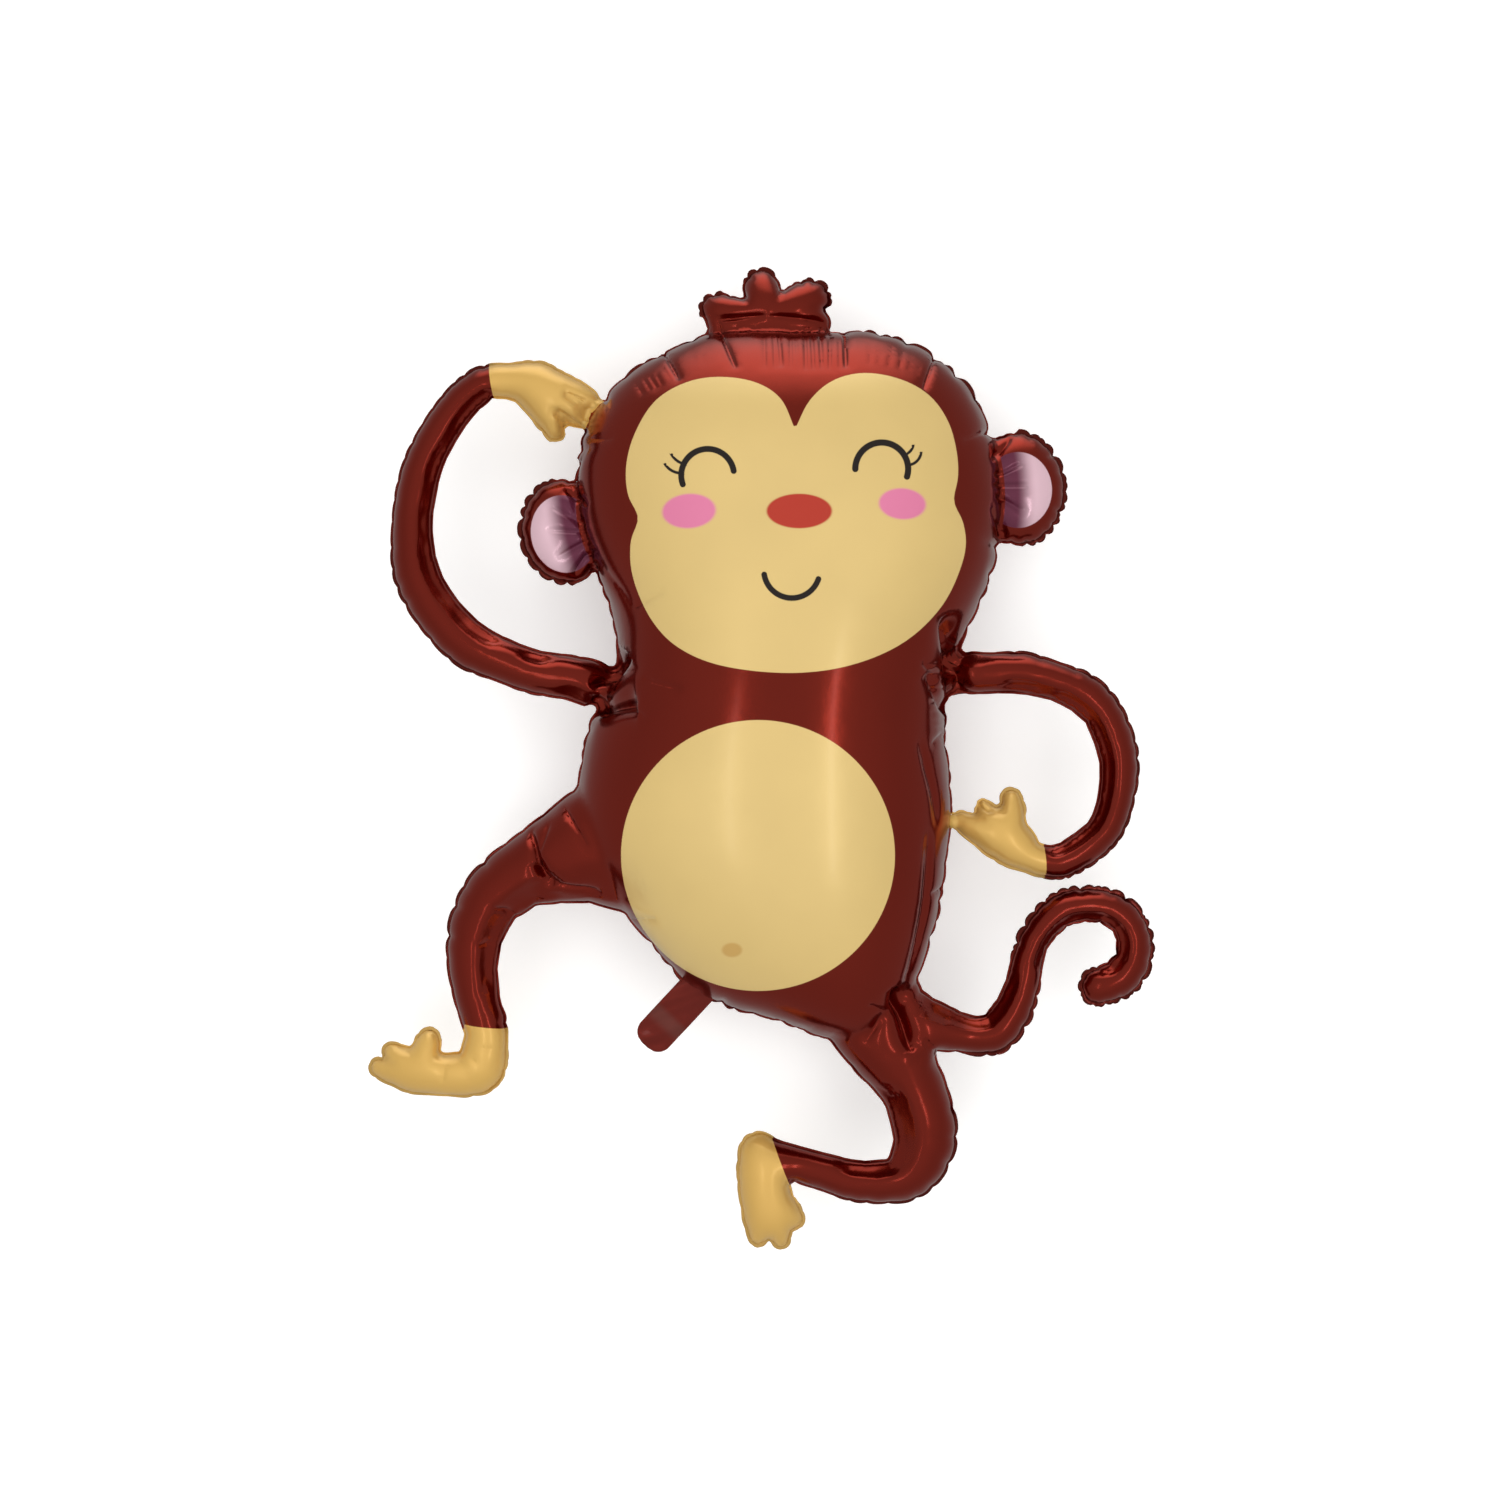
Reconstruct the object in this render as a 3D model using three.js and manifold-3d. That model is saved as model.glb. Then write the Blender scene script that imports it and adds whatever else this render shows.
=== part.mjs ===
// A foil balloon in the shape of a dancing monkey, filled with air and lying on its back, face up.
// It is one sealed piece: a front and a back film, welded together along one flat seam.
// Lengths are in millimetres. +Z is up, +Y points to the crown, and the floor is z = 0.
import * as THREE from "three";
import { mergeVertices } from "three/addons/utils/BufferGeometryUtils.js";
import Module from "manifold-3d";

const wasm = await Module();
wasm.setup();

// Driving dimensions
const balloon_height = 987; // from the lower foot's toes to the top of the hair tuft
const trunk_depth = 270; // the filled head and body, from front to back
const seam_width = 4.5; // the flat welded edge outside the filled part
const seam_thickness = 1.6; // both films of the seam, with the ripple in them
const gather_pitch = 27; // from one gather of the seam to the next
const gather_depth = 2.6; // how far the edge draws in at a gather
const gather_bend = 130; // an edge that curves tighter than this radius gathers fully
const plain_edge = 0.35; // below this share of the full depth, gathers are left out
const neck_width = 38; // the flat filling neck
const neck_length = 66; // from the seam of the body to the neck's end
const neck_thickness = 3;
const neck_corner = 11; // radius of the corners of the neck's end
const limb_droop = 20; // how far a limb hangs, at droop_reach outside the trunk
const droop_reach = 0.2; // as a share of the height: the trunk's greatest half width
const rest_flat = 4; // how deep the back is pressed flat where it lies

// The pose below is drawn 986 units tall, from the middle of the figure.
const unit = balloon_height / 986;

// How finely the round forms are faceted
const trunk_points = 54;
const trunk_rings = 5;
const limb_sides = 10;
const limb_step = 29;
const finger_sides = 8;
const finger_step = 23;
const cap_rings = 1;
const ear_points = 18;
const ear_rings = 3;

// The pose, as x and y in drawn units. A third number is half the width there, seam included.
const trunk_edge = [
  [-54, 428], [74, 430], [112, 431], [152, 420], [209, 378], [241, 310], [247, 260], [234, 180], [203, 100],
  [189, 40], [195, -40], [189, -120], [166, -210], [148, -262], [101, -290], [61, -280], [6, -260],
  [-44, -245], [-80, -220], [-112, -184], [-140, -152], [-172, -118], [-186, -70], [-183, -20],
  [-170, 40], [-146, 100], [-147, 140], [-168, 190], [-185, 260], [-183, 320],
  [-144, 380], [-67, 420],
];
// Along the middle of the trunk, with the share of the full depth that it has there
const trunk_spine = [
  [33, 262, 0.99], [28, 215, 1], [8, 60, 0.92], [0, -60, 1], [8, -125, 0.97], [28, -165, 0.9],
];
const arms = [
  [
    [-135, 66, 30], [-182, 81, 25], [-224, 88, 24], [-257, 100, 24], [-289, 115, 26],
    [-323, 149, 25.6], [-344, 187, 25.7], [-349, 235, 23], [-344, 274, 22.8], [-334, 306, 22],
    [-303, 355, 21], [-278, 376, 20.6], [-262, 380, 19],
  ],
  [
    [180, 89, 31], [221, 87, 23], [263, 87, 23], [299, 78, 21.4], [324, 67, 22.8],
    [344, 48, 22.4], [360, 10, 22.6], [362, -12, 22], [357, -45, 20.5], [345, -72, 20],
    [303, -101, 19.6], [280, -101, 17],
  ],
];
const legs = [
  [
    [-105, -72, 88], [-148, -82, 67], [-179, -91, 54], [-204, -100, 46], [-229, -110, 38.6], [-254, -126, 35.5], [-271, -144, 33],
    [-283, -170, 31], [-287, -200, 28], [-284, -231, 25.7], [-275, -270, 23.4],
  ],
  [
    [112, -246, 56], [130, -282, 47], [143, -308, 38], [155, -330, 35], [166, -380, 34],
    [151, -413, 29], [131, -421, 25], [96, -421, 22.8], [71, -414, 21], [12, -397, 20],
  ],
];
const tail = [
  [140, -248, 30], [171, -264, 27], [216, -275, 21], [235, -272, 23], [252, -253, 21.6],
  [262, -230, 19.7], [275, -181, 18], [302, -151, 20], [328, -145, 20], [358, -152, 20],
  [375, -173, 20.5], [376, -196, 21.5], [364, -217, 23], [341, -227, 21],
];
// Each hand and foot is a palm or sole and three fingers or toes.
const hands = [
  [
    [[-266, 380, 18], [-245, 379, 21], [-222, 374, 27], [-210, 367, 25]],
    [[-210, 378, 17], [-190, 374, 14], [-167, 362, 12]],
    [[-214, 364, 15], [-195, 349, 13], [-185, 340, 10]],
    [[-224, 360, 16], [-211, 340, 13], [-202, 327, 11]],
  ],
  [
    [[284, -101, 16], [268, -94, 20], [252, -82, 26], [242, -74, 26]],
    [[236, -78, 17], [214, -68, 13], [198, -59, 11]],
    [[238, -66, 15], [227, -52, 12], [223, -46, 9]],
    [[252, -66, 17], [253, -48, 15], [252, -39, 13]],
  ],
];
const feet = [
  [
    [[-273, -262, 22], [-275, -288, 25], [-282, -309, 28], [-310, -316, 24], [-348, -312, 26]],
    [[-350, -318, 17], [-372, -315, 14], [-384, -311, 12]],
    [[-348, -306, 16], [-364, -298, 14], [-371, -294, 11]],
    [[-338, -304, 18], [-333, -286, 16], [-331, -279, 12]],
  ],
  [
    [[0, -392, 22], [2, -412, 26], [8, -440, 29], [11, -452, 30]],
    [[2, -458, 16], [0, -472, 14], [-1, -479, 11]],
    [[14, -460, 16], [21, -474, 13], [22, -481, 11]],
    [[20, -448, 19], [33, -458, 14], [36, -461, 11]],
  ],
];
const tuft = [
  [[-38, 432, 18], [54, 436, 20]],
  [[-10, 444, 18], [-36, 450, 19], [-44, 451, 17]],
  [[2, 440, 24], [3, 466, 23], [2, 473, 20]],
  [[25, 444, 20], [46, 460, 23], [53, 461, 21]],
];
// Middle, half width, half height and half depth of each ear, with its tilt in degrees
const ears = [
  { x: -193, y: 229, wide: 48, high: 55, deep: 21, tilt: 14 },
  { x: 257, y: 271, wide: 52, high: 60, deep: 22, tilt: 4 },
];
// Where the neck leaves the seam of the body, and which way it points, in degrees from +X
const neck_root = [-69, -237];
const neck_angle = -133;

const film = new THREE.MeshStandardMaterial({ color: 0x6d1f14, roughness: 0.22, metalness: 1 });

// A list of drawn points, as vectors in millimetres
function placed(points) {
  return points.map(([x, y, z = 0]) => new THREE.Vector3(x, y, z).multiplyScalar(unit));
}

function solid(positions, triangles) {
  const vertProperties = new Float32Array(positions.flatMap((p) => [p.x, p.y, p.z]));
  return new wasm.Manifold(
    new wasm.Mesh({ numProp: 3, vertProperties, triVerts: new Uint32Array(triangles) }),
  );
}

// A closed skin over rows of points. Each row is a ring, and the first and last row are single points.
function skin(rows) {
  const sides = rows[1].length;
  const last = 1 + (rows.length - 2) * sides;
  const triangles = [];
  for (let i = 0; i < sides; i++) {
    const next = (i + 1) % sides;
    triangles.push(0, 1 + next, 1 + i);
    for (let row = 1; row < rows.length - 2; row++) {
      const here = 1 + (row - 1) * sides;
      const there = here + sides;
      triangles.push(here + i, here + next, there + next);
      triangles.push(here + i, there + next, there + i);
    }
    triangles.push(last, last - sides + i, last - sides + next);
  }
  return solid(rows.flat(), triangles);
}

// The stations of a tube: its middle line with rounded ends, where z holds the filled half width
function stations(path, step) {
  const line = new THREE.CatmullRomCurve3(placed(path), false, "centripetal");
  const count = Math.max(2, Math.round(line.getLength() / step));
  const middle = line.getSpacedPoints(count);
  const made = middle.map((p, i) => {
    const before = middle[Math.max(i - 1, 0)];
    const after = middle[Math.min(i + 1, count)];
    const along = new THREE.Vector2(after.x - before.x, after.y - before.y).normalize();
    return { at: new THREE.Vector2(p.x, p.y), along, half: p.z - seam_width };
  });
  return [...cap(made[0], -1).reverse(), ...made, ...cap(made[count], 1)];
}

function cap(end, way) {
  const made = [];
  for (let k = 1; k <= cap_rings + 1; k++) {
    const turn = (k / (cap_rings + 1)) * (Math.PI / 2);
    const at = end.at.clone().addScaledVector(end.along, way * end.half * Math.sin(turn));
    made.push({ at, along: end.along, half: k > cap_rings ? 0 : end.half * Math.cos(turn) });
  }
  return made;
}

function beside(station, offset) {
  const { at, along } = station;
  return new THREE.Vector3(at.x - along.y * offset, at.y + along.x * offset, 0);
}

// The filled body of a tube, round in section, with an edge on the seam at each side
function tube(line, sides) {
  const rows = line.map((station) => {
    if (station.half === 0) return [beside(station, 0)];
    return Array.from({ length: sides }, (_, i) => {
      const turn = (i / sides) * 2 * Math.PI;
      const point = beside(station, station.half * Math.cos(turn));
      return point.setZ(station.half * Math.sin(turn));
    });
  });
  return skin(rows);
}

// The outline of a tube's filled part, anticlockwise
function tube_edge(line) {
  const right = line.map((station) => beside(station, -station.half));
  const left = line.slice(1, -1).map((station) => beside(station, station.half));
  return [...right, ...left.reverse()];
}

// The flat seam outside an anticlockwise outline, drawn in at its gathers where it curves outwards
function seam(outline) {
  const loop = new THREE.CatmullRomCurve3(outline, true, "centripetal");
  const gathers = Math.max(7, Math.round(loop.getLength() / gather_pitch));
  const points = loop.getSpacedPoints(2 * gathers).slice(0, -1);
  const edge = [];
  points.forEach((point, i) => {
    const before = points.at(i - 1);
    const after = points[(i + 1) % points.length];
    const back = Math.atan2(point.y - before.y, point.x - before.x);
    const front = Math.atan2(after.y - point.y, after.x - point.x);
    const turn = Math.atan2(Math.sin(front - back), Math.cos(front - back));
    const bend = (turn * 2) / (point.distanceTo(before) + point.distanceTo(after));
    const gather = THREE.MathUtils.clamp(bend * gather_bend, 0, 1);
    if (Math.abs(bend) * gather_bend < plain_edge && i % 4) return;
    const offset = seam_width - (i % 2 ? 0 : gather * gather_depth);
    const heading = (back + turn / 2) - Math.PI / 2;
    edge.push(
      new THREE.Vector2(point.x + offset * Math.cos(heading), point.y + offset * Math.sin(heading)),
    );
  });
  return slab(new THREE.Shape(edge), seam_thickness);
}

// A flat plate with its middle plane on the seam
function slab(shape, thickness) {
  const plate = new THREE.ExtrudeGeometry(shape, { depth: thickness, bevelEnabled: false });
  plate.translate(0, 0, -thickness / 2);
  plate.deleteAttribute("normal");
  plate.deleteAttribute("uv");
  const merged = mergeVertices(plate, 1e-4);
  return new wasm.Manifold(
    new wasm.Mesh({
      numProp: 3,
      vertProperties: merged.attributes.position.array,
      triVerts: new Uint32Array(merged.index.array),
    }),
  );
}

// The nearest point to p on a line of points, whose z is the filled half depth there
function nearest(p, line) {
  if (line.length === 1) return line[0];
  let best = null;
  let least = Infinity;
  for (let i = 0; i + 1 < line.length; i++) {
    const [a, b] = [line[i], line[i + 1]];
    const run = new THREE.Vector2(b.x - a.x, b.y - a.y);
    const share = ((p.x - a.x) * run.x + (p.y - a.y) * run.y) / run.lengthSq();
    const q = a.clone().lerp(b, THREE.MathUtils.clamp(share, 0, 1));
    const gap = Math.hypot(p.x - q.x, p.y - q.y);
    if (gap < least) [least, best] = [gap, q];
  }
  return best;
}

// A filled form between two films: rings climb from its outline towards its spine, front and back.
function pillow(outline, spine, rings) {
  const steepest = THREE.MathUtils.degToRad(80);
  const count = outline.length;
  const positions = [...outline];
  const triangles = [];
  for (const side of [1, -1]) {
    let below = outline.map((_, i) => i);
    for (let ring = 1; ring <= rings; ring++) {
      const turn = (ring / rings) * steepest;
      const row = outline.map((p) => {
        const foot = nearest(p, spine);
        const way = 1 - Math.cos(turn);
        positions.push(
          new THREE.Vector3(
            p.x + (foot.x - p.x) * way,
            p.y + (foot.y - p.y) * way,
            side * foot.z * Math.sin(turn),
          ),
        );
        return positions.length - 1;
      });
      for (let i = 0; i < count; i++) {
        const next = (i + 1) % count;
        add_face(triangles, side, [below[i], below[next], row[next]]);
        add_face(triangles, side, [below[i], row[next], row[i]]);
      }
      below = row;
    }
    close_across(below, positions, (face) => add_face(triangles, side, face));
  }
  return solid(positions, triangles);
}

// Closes an anticlockwise ring with faces that run across it, from its highest point down
function close_across(ring, positions, add) {
  const count = ring.length;
  const high = ring.reduce((best, v, i) => (positions[v].y > positions[ring[best]].y ? i : best), 0);
  let [left, right] = [0, 0];
  while (left + right < count - 1) {
    const here_left = ring[(high + left) % count];
    const here_right = ring[(high - right + count) % count];
    const next_left = ring[(high + left + 1) % count];
    const next_right = ring[(high - right - 1 + count) % count];
    const go_left = positions[next_left].y > positions[next_right].y;
    if (here_left !== here_right) {
      add([here_left, go_left ? next_left : next_right, here_right]);
    }
    if (go_left) left++;
    else right++;
  }
}

function add_face(triangles, side, [a, b, c]) {
  triangles.push(...(side > 0 ? [a, b, c] : [a, c, b]));
}

function make_trunk() {
  const edge = placed(trunk_edge).reverse();
  const loop = new THREE.CatmullRomCurve3(edge, true, "centripetal");
  const outer = loop.getSpacedPoints(trunk_points).slice(0, -1);
  const outline = drawn_in(outer, seam_width);
  const spine = placed(trunk_spine).map((p, i) => {
    return p.setZ(trunk_spine[i][2] * (trunk_depth / 2));
  });
  return [pillow(outline, spine, trunk_rings), seam(outline)];
}

// An anticlockwise outline moved inwards by a distance
function drawn_in(points, distance) {
  return points.map((p, i) => {
    const before = points.at(i - 1);
    const after = points[(i + 1) % points.length];
    const along = after.clone().sub(before).normalize();
    return new THREE.Vector3(p.x - along.y * distance, p.y + along.x * distance, 0);
  });
}

function make_limb(path, step, sides) {
  const line = stations(path, step);
  return [tube(line, sides), seam(tube_edge(line))];
}

function make_ear(ear) {
  const tilt = THREE.MathUtils.degToRad(ear.tilt);
  const outer = Array.from({ length: ear_points }, (_, i) => {
    const turn = (i / ear_points) * 2 * Math.PI;
    const point = new THREE.Vector3(ear.wide * Math.cos(turn), ear.high * Math.sin(turn), 0);
    point.applyAxisAngle(new THREE.Vector3(0, 0, 1), tilt);
    return point.add(new THREE.Vector3(ear.x, ear.y, 0)).multiplyScalar(unit);
  });
  const outline = drawn_in(outer, seam_width);
  const spine = placed([[ear.x, ear.y, ear.deep]]);
  return [pillow(outline, spine, ear_rings), seam(outline)];
}

// The filling neck: a flat double film that runs out from inside the body to a rounded end
function make_neck() {
  const inside = 2 * neck_width;
  const half = neck_width / 2;
  const corner = Math.min(neck_corner, half);
  const shape = new THREE.Shape();
  shape.moveTo(-inside, -half);
  shape.lineTo(neck_length - corner, -half);
  shape.absarc(neck_length - corner, -half + corner, corner, -Math.PI / 2, 0, false);
  shape.absarc(neck_length - corner, half - corner, corner, 0, Math.PI / 2, false);
  shape.lineTo(-inside, half);
  const [root] = placed([neck_root]);
  return slab(shape, neck_thickness)
    .rotate([0, 0, neck_angle])
    .translate([root.x, root.y, 0]);
}

// How far a point hangs below the seam of the trunk
function droop(x, y) {
  const spine = placed(trunk_spine);
  const foot = nearest(new THREE.Vector2(x, y), spine);
  const reach = droop_reach * balloon_height;
  const outside = Math.max(0, Math.hypot(x - foot.x, y - foot.y) - reach);
  return limb_droop * (outside / reach) ** 2;
}

function make_balloon() {
  const forms = [
    ...make_trunk(),
    ...arms.flatMap((path) => make_limb(path, limb_step, limb_sides)),
    ...legs.flatMap((path) => make_limb(path, limb_step, limb_sides)),
    ...make_limb(tail, limb_step, limb_sides),
    ...[...hands, ...feet].flat().flatMap((path) => make_limb(path, finger_step, finger_sides)),
    ...tuft.flatMap((path) => make_limb(path, finger_step, finger_sides)),
    ...ears.flatMap(make_ear),
    make_neck(),
  ];
  const flat = forms.reduce((whole, form) => whole.add(form)).getMesh();
  const vertProperties = flat.vertProperties.slice();
  for (let i = 0; i < vertProperties.length; i += 3) {
    vertProperties[i + 2] -= droop(vertProperties[i], vertProperties[i + 1]);
  }
  const hanging = new wasm.Manifold(
    new wasm.Mesh({ numProp: 3, vertProperties, triVerts: flat.triVerts }),
  );
  const floor = rest_flat - trunk_depth / 2;
  return hanging.trimByPlane([0, 0, 1], floor);
}

// The balloon's middle stands over the origin, and its back lies on z = 0.
function balloon_mesh() {
  const shape = make_balloon().getMesh();
  const geometry = new THREE.BufferGeometry();
  geometry.setAttribute("position", new THREE.BufferAttribute(shape.vertProperties, 3));
  geometry.setIndex(new THREE.BufferAttribute(shape.triVerts, 1));
  geometry.computeBoundingBox();
  const { min, max } = geometry.boundingBox;
  geometry.translate(-(min.x + max.x) / 2, -(min.y + max.y) / 2, -min.z);
  geometry.computeVertexNormals();
  const mesh = new THREE.Mesh(geometry, film);
  mesh.name = "monkey_balloon";
  return mesh;
}

const monkey = new THREE.Group();
monkey.add(balloon_mesh());

export default monkey;
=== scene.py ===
import math

import bpy
import numpy as np
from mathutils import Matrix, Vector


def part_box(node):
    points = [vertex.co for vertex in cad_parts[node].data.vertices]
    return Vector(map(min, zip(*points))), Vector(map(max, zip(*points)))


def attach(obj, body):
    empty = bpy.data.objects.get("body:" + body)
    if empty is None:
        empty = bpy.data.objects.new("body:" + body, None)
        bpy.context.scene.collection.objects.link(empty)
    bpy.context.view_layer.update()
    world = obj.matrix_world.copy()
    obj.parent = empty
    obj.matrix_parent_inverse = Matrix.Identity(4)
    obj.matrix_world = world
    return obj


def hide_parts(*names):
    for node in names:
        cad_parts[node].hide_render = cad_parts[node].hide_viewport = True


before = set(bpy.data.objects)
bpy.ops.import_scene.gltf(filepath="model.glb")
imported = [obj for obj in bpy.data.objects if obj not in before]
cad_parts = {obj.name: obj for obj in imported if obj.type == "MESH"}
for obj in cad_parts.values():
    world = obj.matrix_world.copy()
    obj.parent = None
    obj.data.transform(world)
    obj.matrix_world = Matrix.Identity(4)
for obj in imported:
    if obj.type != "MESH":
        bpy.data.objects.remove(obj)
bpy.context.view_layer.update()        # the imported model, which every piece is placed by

# A foil balloon in the shape of a dancing monkey, filled with air and lying on its back.
# The figure is worked out in millimetres on the plane of its welded seam, and made in metres.

bl_info = {
    "name": "Monkey foil balloon",
    "version": (1, 0, 0),
    "blender": (4, 5, 0),
    "location": "3D View > Sidebar > Balloon",
    "description": "Makes a filled foil balloon of a dancing monkey and a plain studio round it",
    "category": "Add Mesh",
}

MM = 0.001
NODE_LOW, NODE_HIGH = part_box("monkey_balloon")
NODE_TALL = (NODE_HIGH[1] - NODE_LOW[1]) / MM

# The pose is drawn this many units tall over its box, from a point beside the middle of the box.
POSE_TALL = 984
UNIT = NODE_TALL / POSE_TALL
MIDDLE = np.array([0.5, 1.5])

# Heights above the floor, in millimetres
SEAM_HEIGHT = 131.0
LIMB_DROOP = 20.0
DROOP_REACH = 0.2 * NODE_TALL

# The pose as x, y and half the width there, seam included
TRUNK_EDGE = [
    (-54, 428), (10, 431), (74, 430), (112, 431), (152, 420), (186, 400), (209, 378), (228, 344),
    (241, 310), (247, 260), (243, 215), (234, 180), (216, 138), (203, 100), (193, 62), (189, 30),
    (194, -20), (195, -50), (190, -100), (184, -145), (173, -185), (163, -215), (148, -262),
    (101, -290), (61, -280), (6, -260), (-44, -246), (-80, -220), (-112, -184), (-140, -152),
    (-172, -118), (-186, -70), (-183, -20), (-172, 40), (-156, 80), (-146, 110), (-149, 140),
    (-157, 163), (-170, 192), (-181, 225), (-186, 260), (-185, 300), (-174, 338), (-155, 367),
    (-118, 398), (-88, 413),
]
TRUNK_SPINE = [(33, 262), (28, 215), (8, 60), (0, -60), (8, -125), (28, -165)]
ARMS = [
    [(-135, 66, 30), (-182, 81, 25), (-224, 88, 24), (-257, 100, 24), (-289, 115, 26),
     (-323, 149, 25.6), (-344, 187, 25.7), (-349, 235, 23), (-344, 274, 22.8), (-334, 306, 22),
     (-303, 355, 21), (-278, 376, 20.6), (-262, 380, 19)],
    [(180, 89, 31), (221, 87, 23), (263, 87, 23), (299, 78, 21.4), (324, 67, 22.8),
     (344, 48, 22.4), (360, 10, 22.6), (362, -12, 22), (357, -45, 20.5), (345, -72, 20),
     (303, -101, 19.6), (280, -101, 17)],
]
LEGS = [
    [(-105, -72, 88), (-148, -82, 67), (-179, -91, 54), (-204, -100, 46), (-229, -110, 38.6),
     (-254, -126, 35.5), (-271, -144, 33), (-283, -170, 31), (-287, -200, 28),
     (-284, -231, 25.7), (-275, -270, 23.4)],
    [(112, -246, 56), (130, -282, 47), (143, -308, 38), (155, -330, 35), (166, -380, 34),
     (151, -413, 29), (131, -421, 25), (96, -421, 22.8), (71, -414, 21), (12, -397, 20)],
]
TAIL = [
    (140, -248, 30), (171, -264, 27), (216, -275, 21), (235, -272, 23), (252, -253, 21.6),
    (262, -230, 19.7), (275, -181, 18), (302, -151, 20), (328, -145, 20), (358, -152, 20),
    (375, -173, 20.5), (376, -196, 21.5), (364, -217, 23), (341, -227, 21),
]
# Each hand and foot is a palm or sole and three fingers or toes.
HANDS = [
    [
        [(-266, 380, 18), (-245, 379, 21), (-222, 374, 27), (-210, 367, 25)],
        [(-210, 376, 18), (-190, 370, 16), (-170, 360, 14)],
        [(-212, 364, 17), (-194, 352, 16), (-182, 341, 13)],
        [(-224, 360, 17), (-210, 340, 15), (-203, 329, 13)],
    ],
    [
        [(284, -101, 16), (268, -94, 20), (252, -82, 26), (242, -74, 26)],
        [(236, -78, 20), (217, -69, 16), (202, -61, 13)],
        [(238, -66, 17), (228, -53, 14), (224, -47, 11)],
        [(252, -66, 17), (253, -48, 15), (252, -39, 13)],
    ],
]
FEET = [
    [
        [(-273, -262, 22), (-275, -288, 25), (-282, -309, 28), (-310, -316, 24), (-348, -312, 26)],
        [(-350, -318, 17), (-372, -315, 14), (-384, -311, 12)],
        [(-348, -306, 16), (-364, -298, 14), (-371, -294, 11)],
        [(-338, -304, 18), (-333, -286, 16), (-331, -279, 12)],
    ],
    [
        [(0, -392, 22), (2, -412, 26), (8, -440, 29), (11, -452, 30)],
        [(2, -458, 16), (0, -472, 14), (-1, -479, 11)],
        [(14, -460, 16), (21, -474, 13), (22, -481, 11)],
        [(20, -448, 19), (33, -458, 14), (36, -461, 11)],
    ],
]
TUFT = [
    [(-38, 432, 18), (54, 436, 20)],
    [(-10, 444, 18), (-36, 450, 19), (-44, 451, 17)],
    [(2, 440, 24), (3, 466, 23), (2, 473, 20)],
    [(25, 444, 20), (46, 460, 23), (53, 461, 21)],
]
# x, y, half width, half height and tilt in degrees of each ear
EARS = [(-193, 229, 48, 55, 14), (257, 271, 52, 60, 4)]

# The grid that the filled depth is worked out on
GRID = 2.0
GRID_X = np.arange(-412.0, 413.0, GRID)
GRID_Y = np.arange(-508.0, 509.0, GRID)

# The photograph's view, straight down on the balloon from this high above its seam, and how wide a
# square it shows there, both in metres
VIEW_DISTANCE = 2.8
FRAME_SIZE = 1.5
# The camera's sensor in millimetres, the view's width in pixels, and its middle in millimetres
SENSOR = 36.0
FRAME_PIXELS = 1500
FRAME_MIDDLE = np.array([-9.5, 8.5])


def colour(code):
    """An sRGB hex colour as linear red, green and blue."""
    parts = [int(code[i:i + 2], 16) / 255 for i in (1, 3, 5)]
    return tuple(c / 12.92 if c <= 0.04045 else ((c + 0.055) / 1.055) ** 2.4 for c in parts)


def ink(name, description, code):
    """A colour that a user can change."""
    return bpy.props.FloatVectorProperty(
        name=name, description=description, default=colour(code), size=3, min=0, max=1, subtype="COLOR")


class BalloonSizes(bpy.types.PropertyGroup):
    """Sizes of the balloon's film, seam, gathers and neck"""

    mesh_size: bpy.props.FloatProperty(
        name="Mesh size", description="Spacing of the film's vertices on its back",
        default=5.8 * MM, min=2 * MM, unit="LENGTH", subtype="DISTANCE")
    seam_width: bpy.props.FloatProperty(
        name="Seam width", description="Width of the flat welded edge",
        default=3.4 * MM, min=1 * MM, unit="LENGTH", subtype="DISTANCE")
    seam_thickness: bpy.props.FloatProperty(
        name="Seam thickness", description="Both films of the seam together",
        default=0.8 * MM, min=0.2 * MM, unit="LENGTH", subtype="DISTANCE")
    neck_width: bpy.props.FloatProperty(
        name="Neck width", description="Width of the flat filling neck",
        default=38 * MM, min=5 * MM, unit="LENGTH", subtype="DISTANCE")
    neck_length: bpy.props.FloatProperty(
        name="Neck length", description="Length of the filling neck from the seam",
        default=66 * MM, min=5 * MM, unit="LENGTH", subtype="DISTANCE")
    gather: bpy.props.FloatProperty(
        name="Gathers", description="How deep the film puckers along the seam",
        default=1.0, min=0.0, max=2.0, subtype="FACTOR")


class BalloonColours(bpy.types.PropertyGroup):
    """Inks of the balloon, its neck and the board it lies on"""

    brown: ink("Brown", "Clear lacquer over the metal, on the fur", "#902b1d")
    beige: ink("Beige", "Opaque ink of the face and belly", "#d5b876")
    skin: ink("Hands and feet", "Half opaque ink of the hands and feet", "#d8ad5c")
    ear: ink("Ears", "Ink inside the ears", "#f3ccd8")
    # Painted shade: the plum inside the ears beside the head stands for the dark head mirrored there.
    ear_root_painted_shade: ink("Ears at the head", "Ink inside the ears beside the head", "#6a2c44")
    cheek: ink("Cheeks", "Ink of the two cheeks", "#df7da2")
    nose: ink("Nose", "Ink of the nose", "#b3301c")
    navel: ink("Navel", "Ink of the navel", "#c9a25c")
    line: ink("Lines", "Ink of the eyes, lashes and mouth", "#170d07")
    # Partly painted shade: the weld browns the seam a little, and the dark on outer bends stands for shade
    # in the gathers.
    scorch_and_painted_shade: ink("Scorched seam", "Brown that heat sealing gives the seam", "#1a0705")
    neck: ink("Neck", "Film of the filling neck", "#7a241a")
    # Painted reflection: a greyer band across the neck, standing for a grey reflection there.
    neck_reflection: ink("Valve band", "Where the inner valve shows through the neck", "#7c3c34")
    board: ink("Board", "The lit board under the balloon", "#f4f4f3")


# Smooth lines and outlines

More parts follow.
